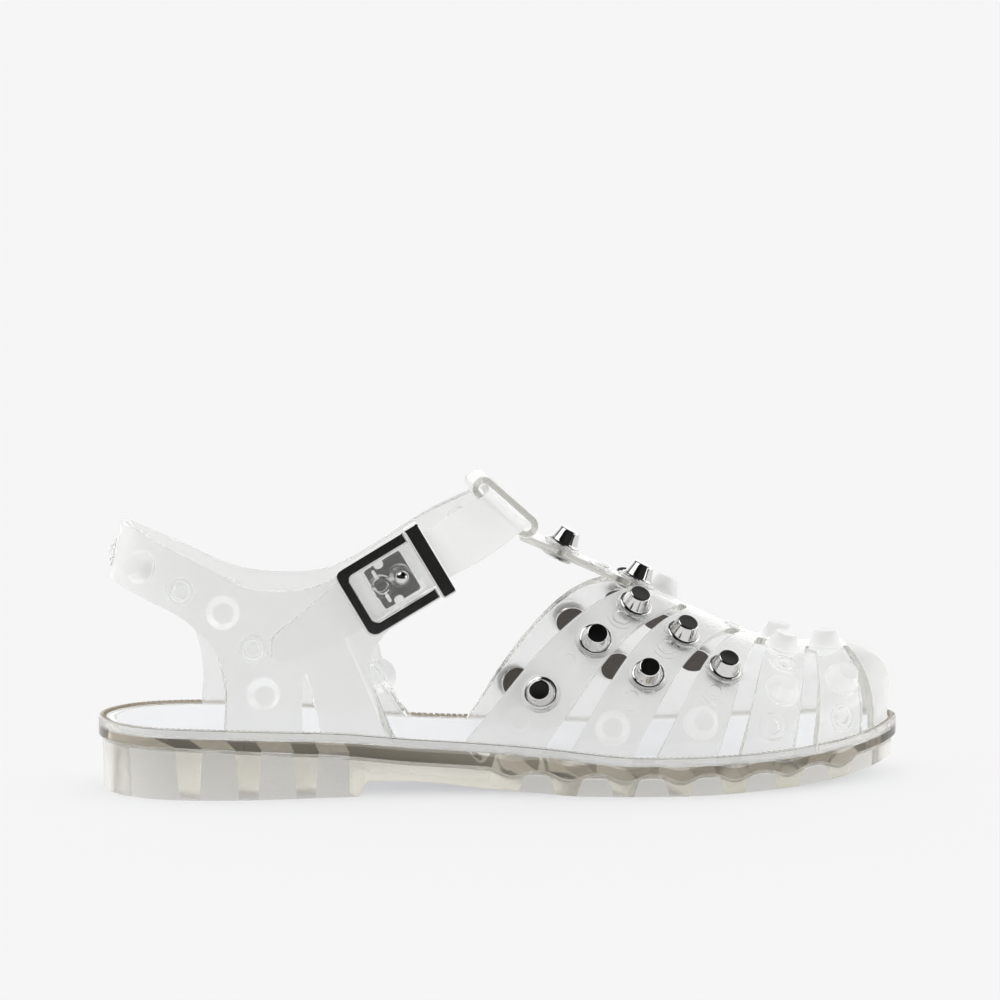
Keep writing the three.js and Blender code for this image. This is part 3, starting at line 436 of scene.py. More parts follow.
def makeSole():
    s = soleSizes
    lower = s["stepInset"] + s["draft"]
    bevel = s["rimBevel"]
    rim = s["rimWidth"]
    levels = [
        (lower + 0.5, soleBottom, 0.0),
        (lower + 0.5, soleBottom, 0.5),
        (lower + 0.5, soleBottom, 1.0),
        (lower + 0.12, above(soleBottom, 0.1), 1.0),
        (lower, above(soleBottom, 0.45), 1.0),
        (s["stepInset"] + 0.05, above(stepLine, -1.1), 1.0),
        (s["stepInset"], above(stepLine, -0.75), 1.0),
        (s["stepInset"] - 0.15, above(stepLine, -0.55), 1.0),
        (0.2, above(stepLine, 0.1), 1.0),
        (0.05, above(stepLine, 0.28), 1.0),
        (0.0, above(stepLine, 0.55), 1.0),
        (0.0, lambda x: mix(stepLine(x), rimTop(x), 0.5), 1.0),
        (0.0, above(rimTop, -bevel - 0.1), 1.0),
        (0.08, above(rimTop, -bevel * 0.4), 1.0),
        (0.3, above(rimTop, -bevel * 0.1), 1.0),
        (0.55, rimTop, 1.0),
        (rim - 0.5, rimTop, 1.0),
        (rim - 0.1, above(rimTop, -0.15), 1.0),
        (rim, above(rimTop, -0.75), 1.0),
        (rim, recessFloor, 1.0),
        (rim, recessFloor, 0.5),
        (rim, recessFloor, 0.0),
    ]
    # slot 1 is the grained wall under the step, slot 2 the pinked edge in a darker brown that is
    # painted shade, slot 3 a band over the step darkened with painted shade, and slot 4 the
    # grained walls of the hollows
    slots = ((2, 6, 1), (10, 11, 3), (16, 18, 2))
    sole = objectFrom(loftRings(levels, s["stations"], s["toothRows"], slots), "sole_body")
    inset = lower + s["wallUnder"]
    roof = above(recessFloor, -s["heelPocketRoof"])
    heel = objectFrom(loftRings([
        (inset, lambda x: -1.0, 0.0),
        (inset, lambda x: -1.0, 1.0),
        (inset + 1.4, above(stepLine, -0.9), 1.0),
        (inset + 2, above(roof, -0.6), 1.0),
        (inset + 2.6, roof, 1.0),
        (inset + 2.6, roof, 0.0),
    ], 90, slots=((1, 2, 4),)), "heel_pocket")
    tall = (-3, 31)  # past the sole's underside and its rim
    fuse(heel, [block(s["heelBack"], s["heelBreast"] - s["wallUnder"], *tall)], "INTERSECT")
    ribs = [crossBar(x, s["heelRibTop"], s["heelRibFoot"], *tall) for x in s["heelRibs"]]
    fuse(heel, ribs, "DIFFERENCE")
    roof = above(soleBottom, s["treadDepth"])
    tread = objectFrom(loftRings([
        (inset, above(soleBottom, -1), 0.0),
        (inset, above(soleBottom, -1), 1.0),
        (inset, above(roof, -0.4), 1.0),
        (inset + 0.4, roof, 1.0),
        (inset + 0.4, roof, 0.0),
    ], 120, slots=((1, 3, 4),)), "tread_pocket")
    first = s["lugs"][0]
    last = first + (len(s["lugs"]) - s["lastHollow"]) * s["lugPitch"]
    fuse(tread, [block(first, last, *tall)], "INTERSECT")
    bars = [
        crossBar(x, s["lugTop"], s["lugFoot"], soleBottom(x) - 1.5, roof(x) + 1) for x in s["lugs"]
    ]
    fuse(tread, bars, "DIFFERENCE")
    return fuse(sole, [heel, tread], "DIFFERENCE", 30)


def makeInsole():
    inset = soleSizes["rimWidth"] + wall + 2 * (gap + slack)
    low = above(recessFloor, gap)
    top = above(rimTop, -shoe["insoleDrop"])
    return objectFrom(loftRings([
        (inset, low, 0.0),
        (inset, low, 1.0),
        (inset, above(top, -0.5), 1.0),
        (inset + 0.1, above(top, -0.22), 1.0),
        (inset + 0.3, above(top, -0.06), 1.0),
        (inset + 0.6, top, 1.0),
        (inset + 8, top, 1.0),
        (inset + 8, top, 0.4),
        (inset + 8, top, 0.0),
    ], 150), "insole_sheet", 40)


print("helpers ready")
sole = makeSole()
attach(sole, "root")
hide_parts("sole")
print("sole", len(sole.data.polygons))
insole = makeInsole()
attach(insole, "root")
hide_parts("insole")
print("insole", len(insole.data.polygons))

# upper
upperSizes = {
    "spineHalf": 7.0,
    "spineFlatness": 0.7,
    "swell": 1.5,
    "swellHeight": 26.0,
    "toeCentre": 0.86,
    "seatHeight": 2.2,
    "innerFootShift": 0.03,
    "barStart": 0.524,
    "capFoot": 0.96,
    "capTop": 0.933,
    "riseFirst": 1.5,
    "catchUp": 1.3,
    "lateUntil": 0.7,
    "lateFade": 0.08,
    "legRows": 20,
    "spineRows": 4,
    "strapColumns": 6,
    "gapColumns": 2,
    "barColumns": 14,
    "capColumns": 22,
    "slotAt": 62.5,
    "slotWidth": 6.0,
    "slotTop": 1.7,
    "slotLean": 2.15,
    "slotHeight": 19.0,
    "slotCorner": 0.3,
    "steepest": 0.9,
    "rimMost": 0.6,
    "collarParts": 4,
    "collarColumns": 8,
    "studHole": 2.2,
    "pinHole": 1.5,
    "edge": 0.45,
}

# straps: rear and front edge on the foot line and on the spine
straps = tableOf("name rearFoot frontFoot rearTop frontTop", [
    ("a", 0.436, 0.534, 0.665, 0.722),
    ("b", 0.566, 0.642, 0.731, 0.788),
    ("c", 0.669, 0.746, 0.799, 0.82),
    ("d", 0.776, 0.847, 0.835, 0.88),
    ("e", 0.877, 0.941, 0.893, 0.926),
])

# studs and moulded cones: share up the strap, share across it, metal or moulded, sides
strapStuds = tableOf("strap up across metal sides", [
    ("a", 0.34, 0.48, True, (-1,)),
    ("a", 0.2, 0.32, True, (1,)),
    ("a", 0.58, 0.62, True, (-1,)),
    ("a", 0.53, 0.4, True, (1,)),
    ("a", 0.81, 0.56, True, (-1, 1)),
    ("b", 0.21, 0.46, False, (-1,)),
    ("b", 0.45, 0.57, True, (-1,)),
    ("b", 0.32, 0.4, True, (1,)),
    ("b", 0.71, 0.56, True, (-1,)),
    ("b", 0.7, 0.42, True, (1,)),
    ("c", 0.23, 0.46, False, (-1,)),
    ("c", 0.54, 0.52, True, (-1,)),
    ("c", 0.43, 0.6, True, (1,)),
    ("d", 0.45, 0.56, False, (-1,)),
    ("d", 0.4, 0.6, False, (1,)),
    ("d", 0.93, 0.4, False, (-1,)),
    ("e", 0.52, 0.57, False, (-1, 1)),
])
spineStuds = tableOf("at off metal", [
    (0.576, -0.2, True),
    (0.669, -0.2, True),
    (0.706, 0.8, False),
    (0.852, 0.55, False),
    (0.906, -0.8, False),
])

# collar band, one cross-line a row: along, out to the inner side and up, low end and top end
collarRows = tableOf("lowAt lowOut lowUp topAt topOut topUp over foot", [
    (0.199, -0.322, 0.53, 0.199, -0.322, 0.595, 0.76, 0),
    (0.212, -0.322, 0.515, 0.209, -0.322, 0.63, 0.76, 0),
    (0.25, -0.322, 0.54, 0.235, -0.322, 0.69, 0.85, 0),
    (0.31, -0.322, 0.635, 0.279, -0.322, 0.801, 0.95, 0),
    (0.365, -0.322, 0.727, 0.333, -0.322, 0.892, 0.95, 0),
    (0.418, -0.322, 0.815, 0.386, -0.32, 0.98, 0.95, 0),
    (0.45, -0.31, 0.85, 0.41, -0.28, 1.007, 0, 0),
    (0.49, -0.2, 0.895, 0.44, -0.18, 1.035, 0, 0),
    (0.524, -0.09, 0.943, 0.4775, -0.09, 1.078, 0, 0),
    (0.526, 0, 0.96, 0.479, 0, 1.097, 0, 0),
    (0.524, 0.09, 0.943, 0.4775, 0.09, 1.078, 0, 0),
    (0.495, 0.2, 0.882, 0.448, 0.18, 1.02, 0, 0),
    (0.455, 0.285, 0.8, 0.415, 0.265, 0.955, 0, 0),
    (0.405, 0.315, 0.69, 0.362, 0.31, 0.845, 0, 0),
    (0.366, 0.32, 0.575, 0.315, 0.32, 0.768, 0, 0),
    (0.362, 0.318, 0.46, 0.29, 0.322, 0.748, 0, 0),
    (0.385, 0.29, 0.3, 0.275, 0.322, 0.742, 0, 0.5),
    (0.4, 0.27, 0.2, 0.262, 0.322, 0.741, 0, 1),
    (0.33, 0.28, 0.2, 0.24, 0.32, 0.742, 0, 1),
    (0.25, 0.3, 0.2, 0.222, 0.318, 0.746, 0, 1),
    (0.19, 0.31, 0.2, 0.2, 0.315, 0.756, 0, 1),
    (0.145, 0.315, 0.2, 0.182, 0.31, 0.77, 0, 1),
    (0.144, 0.316, 0.39, 0.165, 0.304, 0.79, 0, 0),
    (0.131, 0.316, 0.546, 0.148, 0.295, 0.815, 0, 0),
    (0.093, 0.29, 0.668, 0.112, 0.268, 0.87, 0, 0),
    (0.058, 0.235, 0.722, 0.076, 0.215, 0.925, 0, 0),
    (0.026, 0.12, 0.77, 0.042, 0.11, 0.98, 0, 0),
    (0.018, 0, 0.785, 0.034, 0, 0.995, 0, 0),
    (0.026, -0.12, 0.77, 0.042, -0.11, 0.98, 0, 0),
    (0.058, -0.235, 0.722, 0.076, -0.215, 0.925, 0, 0),
    (0.093, -0.29, 0.668, 0.112, -0.268, 0.87, 0, 0),
    (0.131, -0.316, 0.546, 0.148, -0.295, 0.815, 0, 0),
    (0.144, -0.316, 0.39, 0.165, -0.304, 0.79, 0, 0),
    (0.145, -0.315, 0.2, 0.182, -0.31, 0.775, 0, 1),
    (0.19, -0.31, 0.2, 0.2, -0.315, 0.772, 0, 1),
    (0.25, -0.3, 0.2, 0.222, -0.318, 0.772, 0, 1),
    (0.3, -0.3, 0.2, 0.242, -0.32, 0.778, 0, 1),
    (0.354, -0.3, 0.2, 0.258, -0.321, 0.79, 0, 1),
    (0.335, -0.315, 0.33, 0.268, -0.322, 0.803, 0, 0),
    (0.322, -0.322, 0.5, 0.276, -0.322, 0.815, 0, 0),
    (0.342, -0.322, 0.61, 0.3, -0.322, 0.85, 0, 0),
    (0.395, -0.322, 0.777, 0.363, -0.322, 0.942, 0, 0),
])
collarCones = tableOf("row up", [
    (11.25, 0.5),
    (16.8, 0.3),
    (21.05, 0.8),
    (25.55, 0.45),
    (28.45, 0.45),
    (31, 0.55),
    (33.9, 0.3),
])

wallInset = soleSizes["rimWidth"] + gap + slack + wall / 2

buckleSizes = {
    "atX": 0.3488 * length,
    "atZ": 0.8095 * shoe["collarHeight"],
    "slope": degrees(atan(1.746 * shoe["collarHeight"] / length)),
    "length": 30.6,
    "width": 24.0,
    "bar": 3.7,
    "frameThickness": 2.2,
    "barWidth": 5.0,
    "barThickness": 4.0,
    "plateThickness": 0.8,
    "plateLength": 13.0,
    "plateWidth": 14.0,
    "corner": 3.5,
    "windowCorner": 1.5,
    "pinShift": 2.7,
    "knobShift": -3.9,
    "pinRadius": 1.2,
    "ballRadius": 2.3,
    "tabOut": 0.3216 * ballWidth,
    "frameBevel": 0.6,
    "plateBevel": 0.12,
    "washerInner": 1.8,
    "washerOuter": 3.5,
    "washerHeight": 1.2,
    "clearHalf": (8.5, 8.3, 8.0),
}
plateLow = wall / 2 + gap
strapOut = plateLow + buckleSizes["plateThickness"] + gap + wall / 2
frameLow = strapOut + wall / 2 + gap
# buckle parts are drawn flat, long side along X and outward along +Z, then laid on the side
buckleLaid = (Matrix.Translation((buckleSizes["atX"], -buckleSizes["tabOut"], buckleSizes["atZ"]))
              @ Matrix.Rotation(-radians(buckleSizes["slope"]), 4, "Y")
              @ Matrix.Rotation(pi / 2, 4, "X"))


def footLevel(x):
    return recessFloor(x) + gap + 2 * slack


def power(at, side):
    return along(ridgeRows, "outer" if side < 0 else "inner", at)


def lastPoint(x, side, angle):
    # middle of the upper's wall at a station, a side and an angle up from the foot line
    u = upperSizes
    at = x / length
    outer, inner = insetOutline(wallInset)
    foot = sideAt(outer if side < 0 else inner, x)
    tipX, tipY = outer[-1]
    shift = mix(tipY, along(ridgeRows, "shift", at) * ballWidth, clamp((tipX - x) / wall))
    bend = power(at, side)
    low = footLevel(x)
    high = shoe["crestHeight"] * along(ridgeRows, "height", at) - wall / 2
    y = mix(shift, foot, abs(cos(angle)) ** bend)
    z = mix(low, max(low, high), max(0.0, sin(angle)) ** bend)
    outX = x - min(x, u["toeCentre"] * length)
    outY = y - shift
    size = hypot(outX, outY) or 1.0
    swell = u["swell"] * sin(pi * clamp((z - rimTop(x) - gap) / u["swellHeight"]))
    return Vector((x + outX / size * swell, y + outY / size * swell, z))


def spineAngle(x, side):
    # angle at which the side's section meets the edge of the spine
    at = x / length
    outer, inner = insetOutline(wallInset)
    foot = abs(sideAt(outer if side < 0 else inner, x))
    shift = along(ridgeRows, "shift", at) * ballWidth
    reach = max(foot - side * shift, 0.01)
    u = upperSizes
    return acos(clamp(u["spineHalf"] / reach, 0, u["steepest"]) ** (1 / power(at, side)))


def legRun(foot, up, side):
    # share of its way forward that a leg has gone; on the outer side the rear legs rise first
    u = upperSizes
    if side > 0:
        return up
    late = 1 - (1 - up ** u["riseFirst"]) ** u["catchUp"]
    return mix(up, late, smooth(clamp((u["lateUntil"] - foot) / u["lateFade"])))


def legPoint(foot, top, up, side):
    # up is 0 at the foot line and 1 at the edge of the spine
    u = upperSizes
    behind = clamp((u["capFoot"] - foot) / (u["capFoot"] - straps[0]["rearFoot"]))
    footHere = foot + (u["innerFootShift"] * behind if side > 0 else 0)
    x = mix(footHere, top, legRun(foot, clamp(up), side)) * length
    edge = spineAngle(x, side)
    lift = u["spineFlatness"] * (lastPoint(x, side, pi / 2).z - lastPoint(x, side, edge).z)
    point = lastPoint(x, side, edge * up)
    point.z += lift * up ** 2
    return point


def spinePoint(at, off, side):
    # on the flattened spine, off is 0 on the ridge and 1 at its edge
    x = at * length
    crest = lastPoint(x, side, pi / 2).z
    point = lastPoint(x, side, mix(pi / 2, spineAngle(x, side), off))
    point.z = mix(point.z, crest, upperSizes["spineFlatness"])
    return point


def rimShare(foot, side):
    # share up the leg at which it leaves the rim
    x = foot * length
    at = x / length
    rise = shoe["crestHeight"] * along(ridgeRows, "height", at) - footLevel(x)
    most = upperSizes["rimMost"]
    share = clamp((rimTop(x) + gap - footLevel(x)) / max(rise, 1), 0, most)
    return min(asin(share ** (1 / power(at, side))) / spineAngle(x, side), most)


def vampPoint(foot, top, row):
    u = upperSizes
    rows = u["legRows"] + u["spineRows"]
    side = -1 if row < rows else 1
    step = row if side < 0 else 2 * rows - row
    if step > u["legRows"]:
        return spinePoint(top, 1 - (step - u["legRows"]) / u["spineRows"], side)
    rim = rimShare(foot, side)
    first = 2  # rows behind the rim
    if step < first:
        up = rim * step / first
    else:
        up = mix(rim, 1, (step - first) / (u["legRows"] - first))
    return legPoint(foot, top, up, side)


def vampColumns():
    # columns from the instep bar to the toe, with the kind of stretch after each
    u = upperSizes
    columns = []

    def stretch(kind, parts, start, end):
        for i in range(parts):
            share = i / parts
            columns.append((kind, mix(start[0], end[0], share), mix(start[1], end[1], share)))

    rears = [(strap["rearFoot"], strap["rearTop"]) for strap in straps]
    rears.append((u["capFoot"], u["capTop"]))
    stretch("bar", u["barColumns"], (rears[0][0], u["barStart"]), rears[0])
    for strap, rear, following in zip(straps, rears, rears[1:]):
        front = (strap["frontFoot"], strap["frontTop"])
        stretch("strap", u["strapColumns"], rear, front)
        stretch("gap", u["gapColumns"], front, following)
    tip = insetOutline(wallInset)[0][-1][0] / length
    for i in range(u["capColumns"] + 1):
        share = sin(pi / 2 * i / u["capColumns"])
        columns.append(("cap", mix(u["capFoot"], tip, share), mix(u["capTop"], tip, share)))
    return columns


def thicken(piece):
    # a smooth sheet, then both faces half a wall from it, then rounded edges; slot 1 is the
    # inner face and slot 2 the edges, darkened with painted shade
    soft = piece.modifiers.new("soften", "SUBSURF")
    soft.levels = soft.render_levels = 1
    soft.boundary_smooth = "PRESERVE_CORNERS"
    solid = piece.modifiers.new("wall", "SOLIDIFY")
    solid.thickness = wall / 1000
    solid.offset = 0
    solid.use_even_offset = False
    solid.material_offset = 1
    solid.material_offset_rim = 2
    rounded = piece.modifiers.new("rounded", "BEVEL")
    rounded.width = upperSizes["edge"] / 1000
    rounded.segments = 3
    rounded.limit_method = "ANGLE"
    rounded.angle_limit = radians(50)
    return bakeModifiers(piece, 32)


def makeVamp():
    # toe cap, straps and spine as one sheet, whose gaps are cut from the grid
    u = upperSizes
    columns = vampColumns()
    count = len(columns)
    rows = 2 * (u["legRows"] + u["spineRows"])
    bm = gridFrom(count - 1, rows, lambda column, row: vampPoint(*columns[column][1:], row))
    bm.verts.index_update()
    bmesh.ops.recalc_face_normals(bm, faces=bm.faces)
    doomed = []
    for face in bm.faces:
        indices = [vert.index for vert in face.verts]
        kind = columns[min(index % count for index in indices)][0]
        row = min(index // count for index in indices)
        onSpine = u["legRows"] <= row < u["legRows"] + 2 * u["spineRows"]
        if not onSpine and kind in ("bar", "gap"):
            doomed.append(face)
        face.material_index = int(kind == "cap")
    bmesh.ops.delete(bm, geom=doomed, context="FACES")
    bmesh.ops.remove_doubles(bm, verts=bm.verts, dist=1e-3)
    faceOutward(bm, Vector((170, 0, 10)))
    return thicken(objectFrom(bm, "upper_body"))


def collarLine(row):
    # cross-line of the collar band, rows in between on a smooth curve
    index = int(row)
    t = row - index

    def value(column):
        near = (clamp(index + k, 0, len(collarRows) - 1) for k in (-1, 0, 1, 2))
        p, q, r, s = (collarRows[i][column] for i in near)
        bend = (2 * p - 5 * q + 4 * r - s) * t * t + (3 * q - p - 3 * r + s) * t ** 3
        return q + 0.5 * ((r - p) * t + bend)

    ends = []
    for end in ("low", "top"):
        out = value(end + "Out") * ballWidth - value("over") * strapOut
        up = value(end + "Up") * shoe["collarHeight"]
        ends.append(Vector((value(end + "At") * length, out, up)))
    foot = clamp(value("foot"))
    if foot > 0:
        low = ends[0]
        outer, inner = insetOutline(wallInset)
        seat = sideAt(outer if low.y < 0 else inner, low.x)
        low.y = mix(low.y, seat, foot)
        low.z = mix(low.z, footLevel(low.x), foot)
    return ends


def collarPoint(row, share):
    low, top = collarLine(row)
    return low.lerp(top, share)


def makeCollar():
    parts, across = upperSizes["collarParts"], upperSizes["collarColumns"]
    bm = gridFrom((len(collarRows) - 1) * parts, across,
                  lambda column, row: collarPoint(column / parts, row / across))
    faceOutward(bm, Vector((70, 0, 60)))
    return thicken(objectFrom(bm, "collar_band"))


def makeSeat():
    # band along the foot of the upper, which joins the straps' ends inside the rim
    inset = soleSizes["rimWidth"] + gap + 2 * slack
    inside = inset + wall - 2 * slack
    height = upperSizes["seatHeight"]
    section = [(inset, 0.0), (inset, height), (inside, height), (inside, 0.0)]
    stations = 120
    shares = stationList(stations)

    def place(column, row):
        k, side = ringStation(column, stations)
        deep, up = section[row % 4]
        return ringPoint(deep, above(recessFloor, gap + up), shares[k], side)

    bm = gridFrom(2 * stations, 4, place)
    closeSeams(bm)
    seat = objectFrom(bm, "seat_band")
    return fuse(seat, [block(-2, upperSizes["capFoot"] * length + wall, 0, 30)], "INTERSECT")


loopSizes = {
    "length": 25.5,
    "thickness": 7.6,
    "width": 16.0,
    "atX": 0.5024 * length,
    "atZ": 1.0286 * shoe["collarHeight"],
    "slope": 42.0,
}


def arcPoints(x, y, radius, start, end, parts=10):
    turn = [radians(mix(start, end, i / parts)) for i in range(parts + 1)]
    return [(x + radius * cos(angle), y + radius * sin(angle)) for angle in turn]


def makeLoop():
    # flat sleeve that the ankle strap runs through
    s = loopSizes
    radius = (s["thickness"] - wall) / 2
    run = (s["length"] - wall) / 2 - radius
    path = arcPoints(run, 0, radius, -90, 90, 16) + arcPoints(-run, 0, radius, 90, 270, 16)
    turn = Matrix.Rotation(radians(s["slope"]), 4, "Y")
    centre = Vector((s["atX"], 0, s["atZ"]))
    across = 8

    def place(column, row):
        x, z = path[column % len(path)]
        y = mix(-0.5, 0.5, row / across) * (s["width"] - 0.2)
        return turn @ Vector((x, y, z)) + centre

    bm = gridFrom(len(path), across, place)
    closeSeams(bm)
    return thicken(objectFrom(bm, "loop"))


def makeSlotCutter():
    # tapered slot through both counters, wide at the sole
    u = upperSizes
    low = rimTop(u["slotAt"]) - shoe["insoleDrop"]
    bm = bmesh.new()
    bmesh.ops.create_cube(bm, size=1)
    top = [edge for edge in bm.edges if abs(edge.verts[0].co.y - edge.verts[1].co.y) > 0.5
           and edge.verts[0].co.z > 0]
    bmesh.ops.bevel(bm, geom=top, offset=u["slotCorner"], segments=4, profile=0.5,
                    affect="EDGES", material=-1)
    for vert in bm.verts:
        up = vert.co.z + 0.5
        x = u["slotAt"] - u["slotLean"] * up + vert.co.x * mix(u["slotWidth"], u["slotTop"], up)
        vert.co = Vector((x, vert.co.y * 2 * ballWidth, low + u["slotHeight"] * up))
    return objectFrom(bm, "slot")


def placeOn(pointAt, u, v):
    # a point on a surface and the turn from +Z to its outward normal
    step = 0.02
    middle = pointAt(u, v)
    normal = (pointAt(u + step, v) - middle).cross(pointAt(u, v + step) - middle).normalized()
    turn = Vector((0, 0, 1)).rotation_difference(normal)
    return Matrix.Translation(middle) @ turn.to_matrix().to_4x4()


def strapPlace(strap, up, across, side):
    edges = next(row for row in straps if row["name"] == strap)

    def pointAt(u, v):
        foot = mix(edges["rearFoot"], edges["frontFoot"], u)
        top = mix(edges["rearTop"], edges["frontTop"], u)
        return legPoint(foot, top, v if side < 0 else 2 * up - v, side)

    return placeOn(pointAt, across, up)


def spinePlace(at, off):
    return placeOn(lambda u, v: spinePoint(u, abs(v), -1 if v < 0 else 1), at, off)


def collarPlace(row, up):
    return placeOn(collarPoint, row, up)


def turned(profile, place, segments, name, slot=0):
    # a profile of radius and height spun round the place's own axis
    bm = bmesh.new()
    verts = [bm.verts.new((radius, 0, height)) for radius, height in profile]
    edges = [bm.edges.new(pair) for pair in zip(verts, verts[1:])]
    bmesh.ops.spin(bm, geom=verts + edges, cent=(0, 0, 0), axis=(0, 0, 1), dvec=(0, 0, 0),
                   angle=tau, steps=segments, use_merge=True, use_duplicate=False)
    closeSeams(bm)
    bmesh.ops.transform(bm, matrix=place, verts=bm.verts)
    for face in bm.faces:
        face.material_index = slot
    return objectFrom(bm, name)


studSizes = {
    "base": 5.1,
    "top": 3.15,
    "height": 5.0,
    "flange": 0.6,
    "shank": 1.6,
    "disc": 5.0,
    "discThickness": 0.8,
    "studGap": 0.75,
    "discGap": 1.05,
    "segments": 48,
}


def studProfile():
    s = studSizes
    low = wall / 2 + s["studGap"]
    back = -(wall / 2 + s["discGap"])
    discBack = back - s["discThickness"]
    top = low + s["height"]
    return [
        (0, discBack - 0.1),
        (s["disc"] * 0.6, discBack - 0.06),
        (s["disc"] - 0.35, discBack),
        (s["disc"] - 0.08, discBack + 0.12),
        (s["disc"], discBack + 0.4),
        (s["disc"] - 0.1, back - 0.08),
        (s["disc"] - 0.4, back),
        (s["shank"] + 0.3, back),
        (s["shank"], back + 0.2),
        (s["shank"], low),
        (s["base"] - 0.2, low),
        (s["base"], low + 0.12),
        (s["base"], low + s["flange"] - 0.15),
        (s["base"] - 0.14, low + s["flange"]),
        (s["base"] - 0.55, low + s["flange"] + 0.12),
        (s["base"] - 0.75, low + s["flange"] + 0.4),
        (s["top"] + 0.25, top - 0.5),
        (s["top"] + 0.08, top - 0.2),
        (s["top"] - 0.12, top - 0.04),
        (s["top"] - 0.4, top),
        (s["top"] - 0.7, top - 0.04),
        (0, top - 0.04),
    ]


def coneProfile():
    s = studSizes
    low = wall / 2
    top = low + s["height"]
    return [
        (0, 0),
        (s["base"] + 0.5, 0),
        (s["base"] + 0.5, low + 0.15),
        (s["base"] + 0.1, low + 0.3),
        (s["base"] - 0.1, low + 0.6),
        (s["base"] - 0.4, low + 1.2),
        (s["top"] + 0.35, top - 0.7),
        (s["top"] + 0.1, top - 0.22),
        (s["top"] - 0.25, top - 0.04),
        (s["top"] - 0.6, top),
        (0, top),
    ]


ringSizes = {
    "outer": 3.15,
    "inner": 2.0,
    "height": 0.8,
    "step": 4.5,
    "stepHeight": 0.28,
    "seatInner": 5.35,
    "seatOuter": 6.1,
    "seatHeight": 0.6,
    "segments": 32,
}

# raised rings on the straps: share across and up; then on the spine and on the collar band
ringRows = tableOf("strap across up", [
    ("a", 0.62, 0.72),
    ("a", 0.5, 0.48),
    ("a", 0.46, 0.22),
    ("b", 0.52, 0.61),
    ("b", 0.5, 0.35),
    ("c", 0.5, 0.4),
    ("d", 0.52, 0.69),
    ("d", 0.48, 0.19),
    ("e", 0.5, 0.19),
])
spineRings = tableOf("at off", [
    (0.624, -0.8),
    (0.79, -0.5),
])
collarRings = tableOf("row up", [
    (33.4, 0.6),
    (26.5, 0.4),
    (20.2, 0.6),
    (29.7, 0.4),
])


def ringProfile():
    r = ringSizes
    low = wall / 2 - 0.4
    top = wall / 2 + r["height"]
    step = wall / 2 + r["stepHeight"]
    return [
        (r["inner"], low),
        (r["step"] - 0.1, low),
        (r["step"], step - 0.12),
        (r["step"] - 0.15, step),
        (r["outer"] + 0.2, step),
        (r["outer"], step + 0.1),
        (r["outer"] - 0.05, top - 0.25),
        (r["outer"] - 0.2, top - 0.06),
        (r["outer"] - 0.4, top),
        (r["inner"] + 0.35, top),
        (r["inner"] + 0.1, top - 0.1),
        (r["inner"], top - 0.35),
        (r["inner"], low),
    ]


def seatProfile():
    # low ring that a metal stud sits in
    r = ringSizes
    low = wall / 2 - 0.4
    top = wall / 2 + r["seatHeight"]
    return [
        (r["seatInner"], low),
        (r["seatOuter"], low),
        (r["seatOuter"], top - 0.3),
        (r["seatOuter"] - 0.1, top - 0.08),
        (r["seatOuter"] - 0.3, top),
        (r["seatInner"] + 0.25, top),
        (r["seatInner"], top - 0.2),
        (r["seatInner"], low),
    ]


def strapPlaces(rows):
    return [strapPlace(row["strap"], row["up"], row["across"], side)
            for row in rows for side in row.get("sides", (-1, 1))]


def studPlaces(metal):
    onSpine = [row for row in spineStuds if row["metal"] == metal]
    onStraps = [row for row in strapStuds if row["metal"] == metal]
    return [spinePlace(row["at"], row["off"]) for row in onSpine] + strapPlaces(onStraps)


metalPlaces = studPlaces(True)
conePlaces = studPlaces(False) + [collarPlace(row["row"], row["up"]) for row in collarCones]
ringPlaces = strapPlaces(ringRows) + [spinePlace(row["at"], row["off"]) for row in spineRings]
ringPlaces += [collarPlace(row["row"], row["up"]) for row in collarRings]


def washerProfile(low):
    b = buckleSizes
    inner, outer, top = b["washerInner"], b["washerOuter"], low + b["washerHeight"]
    return [(inner, low), (outer, low), (outer, top - 0.2), (outer - 0.3, top),
            (inner + 0.4, top), (inner, top - 0.3), (inner, low)]


def holeProfile(radius, low, high):
    return [(0, low), (radius, low), (radius, high), (0, high)]


def makeUpper():
    u, b = upperSizes, buckleSizes
    upper = makeVamp()
    print("vamp", len(upper.data.polygons))
    collar = makeCollar()
    print("collar", len(collar.data.polygons))
    fuse(collar, [makeSlotCutter()], "DIFFERENCE")
    around = ringSizes["segments"]
    cones = [turned(coneProfile(), place, 40, "cone", 1) for place in conePlaces]
    rings = [turned(ringProfile(), place, around, "ring") for place in ringPlaces]
    rings += [turned(seatProfile(), place, around, "seat") for place in metalPlaces]
    pinPlace, knobPlace = (
        buckleLaid @ Matrix.Translation((b[shift], 0, 0)) for shift in ("pinShift", "knobShift")
    )
    for place in (pinPlace, knobPlace):
        rings.append(turned(washerProfile(strapOut + 0.5), place, 32, "washer"))
    fuse(upper, [collar, makeSeat(), makeLoop()] + cones + rings)
    studHole = holeProfile(u["studHole"], -2 * wall, 2 * wall)
    holes = [turned(studHole, place, 24, "hole") for place in metalPlaces]
    pinHole = holeProfile(u["pinHole"], plateLow + 0.5, strapOut + 3)
    holes.append(turned(pinHole, pinPlace, 24, "pin_hole"))
    fuse(upper, holes, "DIFFERENCE", 34)
    # the strap is clear where it covers the hinge plate
    flat = (rowFrame @ buckleLaid).inverted()
    halfX, halfY, high = b["clearHalf"]
    for face in upper.data.polygons:
        x, y, z = flat @ face.center
        if abs(x) < halfX and abs(y) < halfY and 0 < z < high and face.material_index == 1:
            face.material_index = 0
    return upper


upper = makeUpper()
upper.name = "upper_shell"
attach(upper, "root")
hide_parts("upper")
print("upper", len(upper.data.polygons))

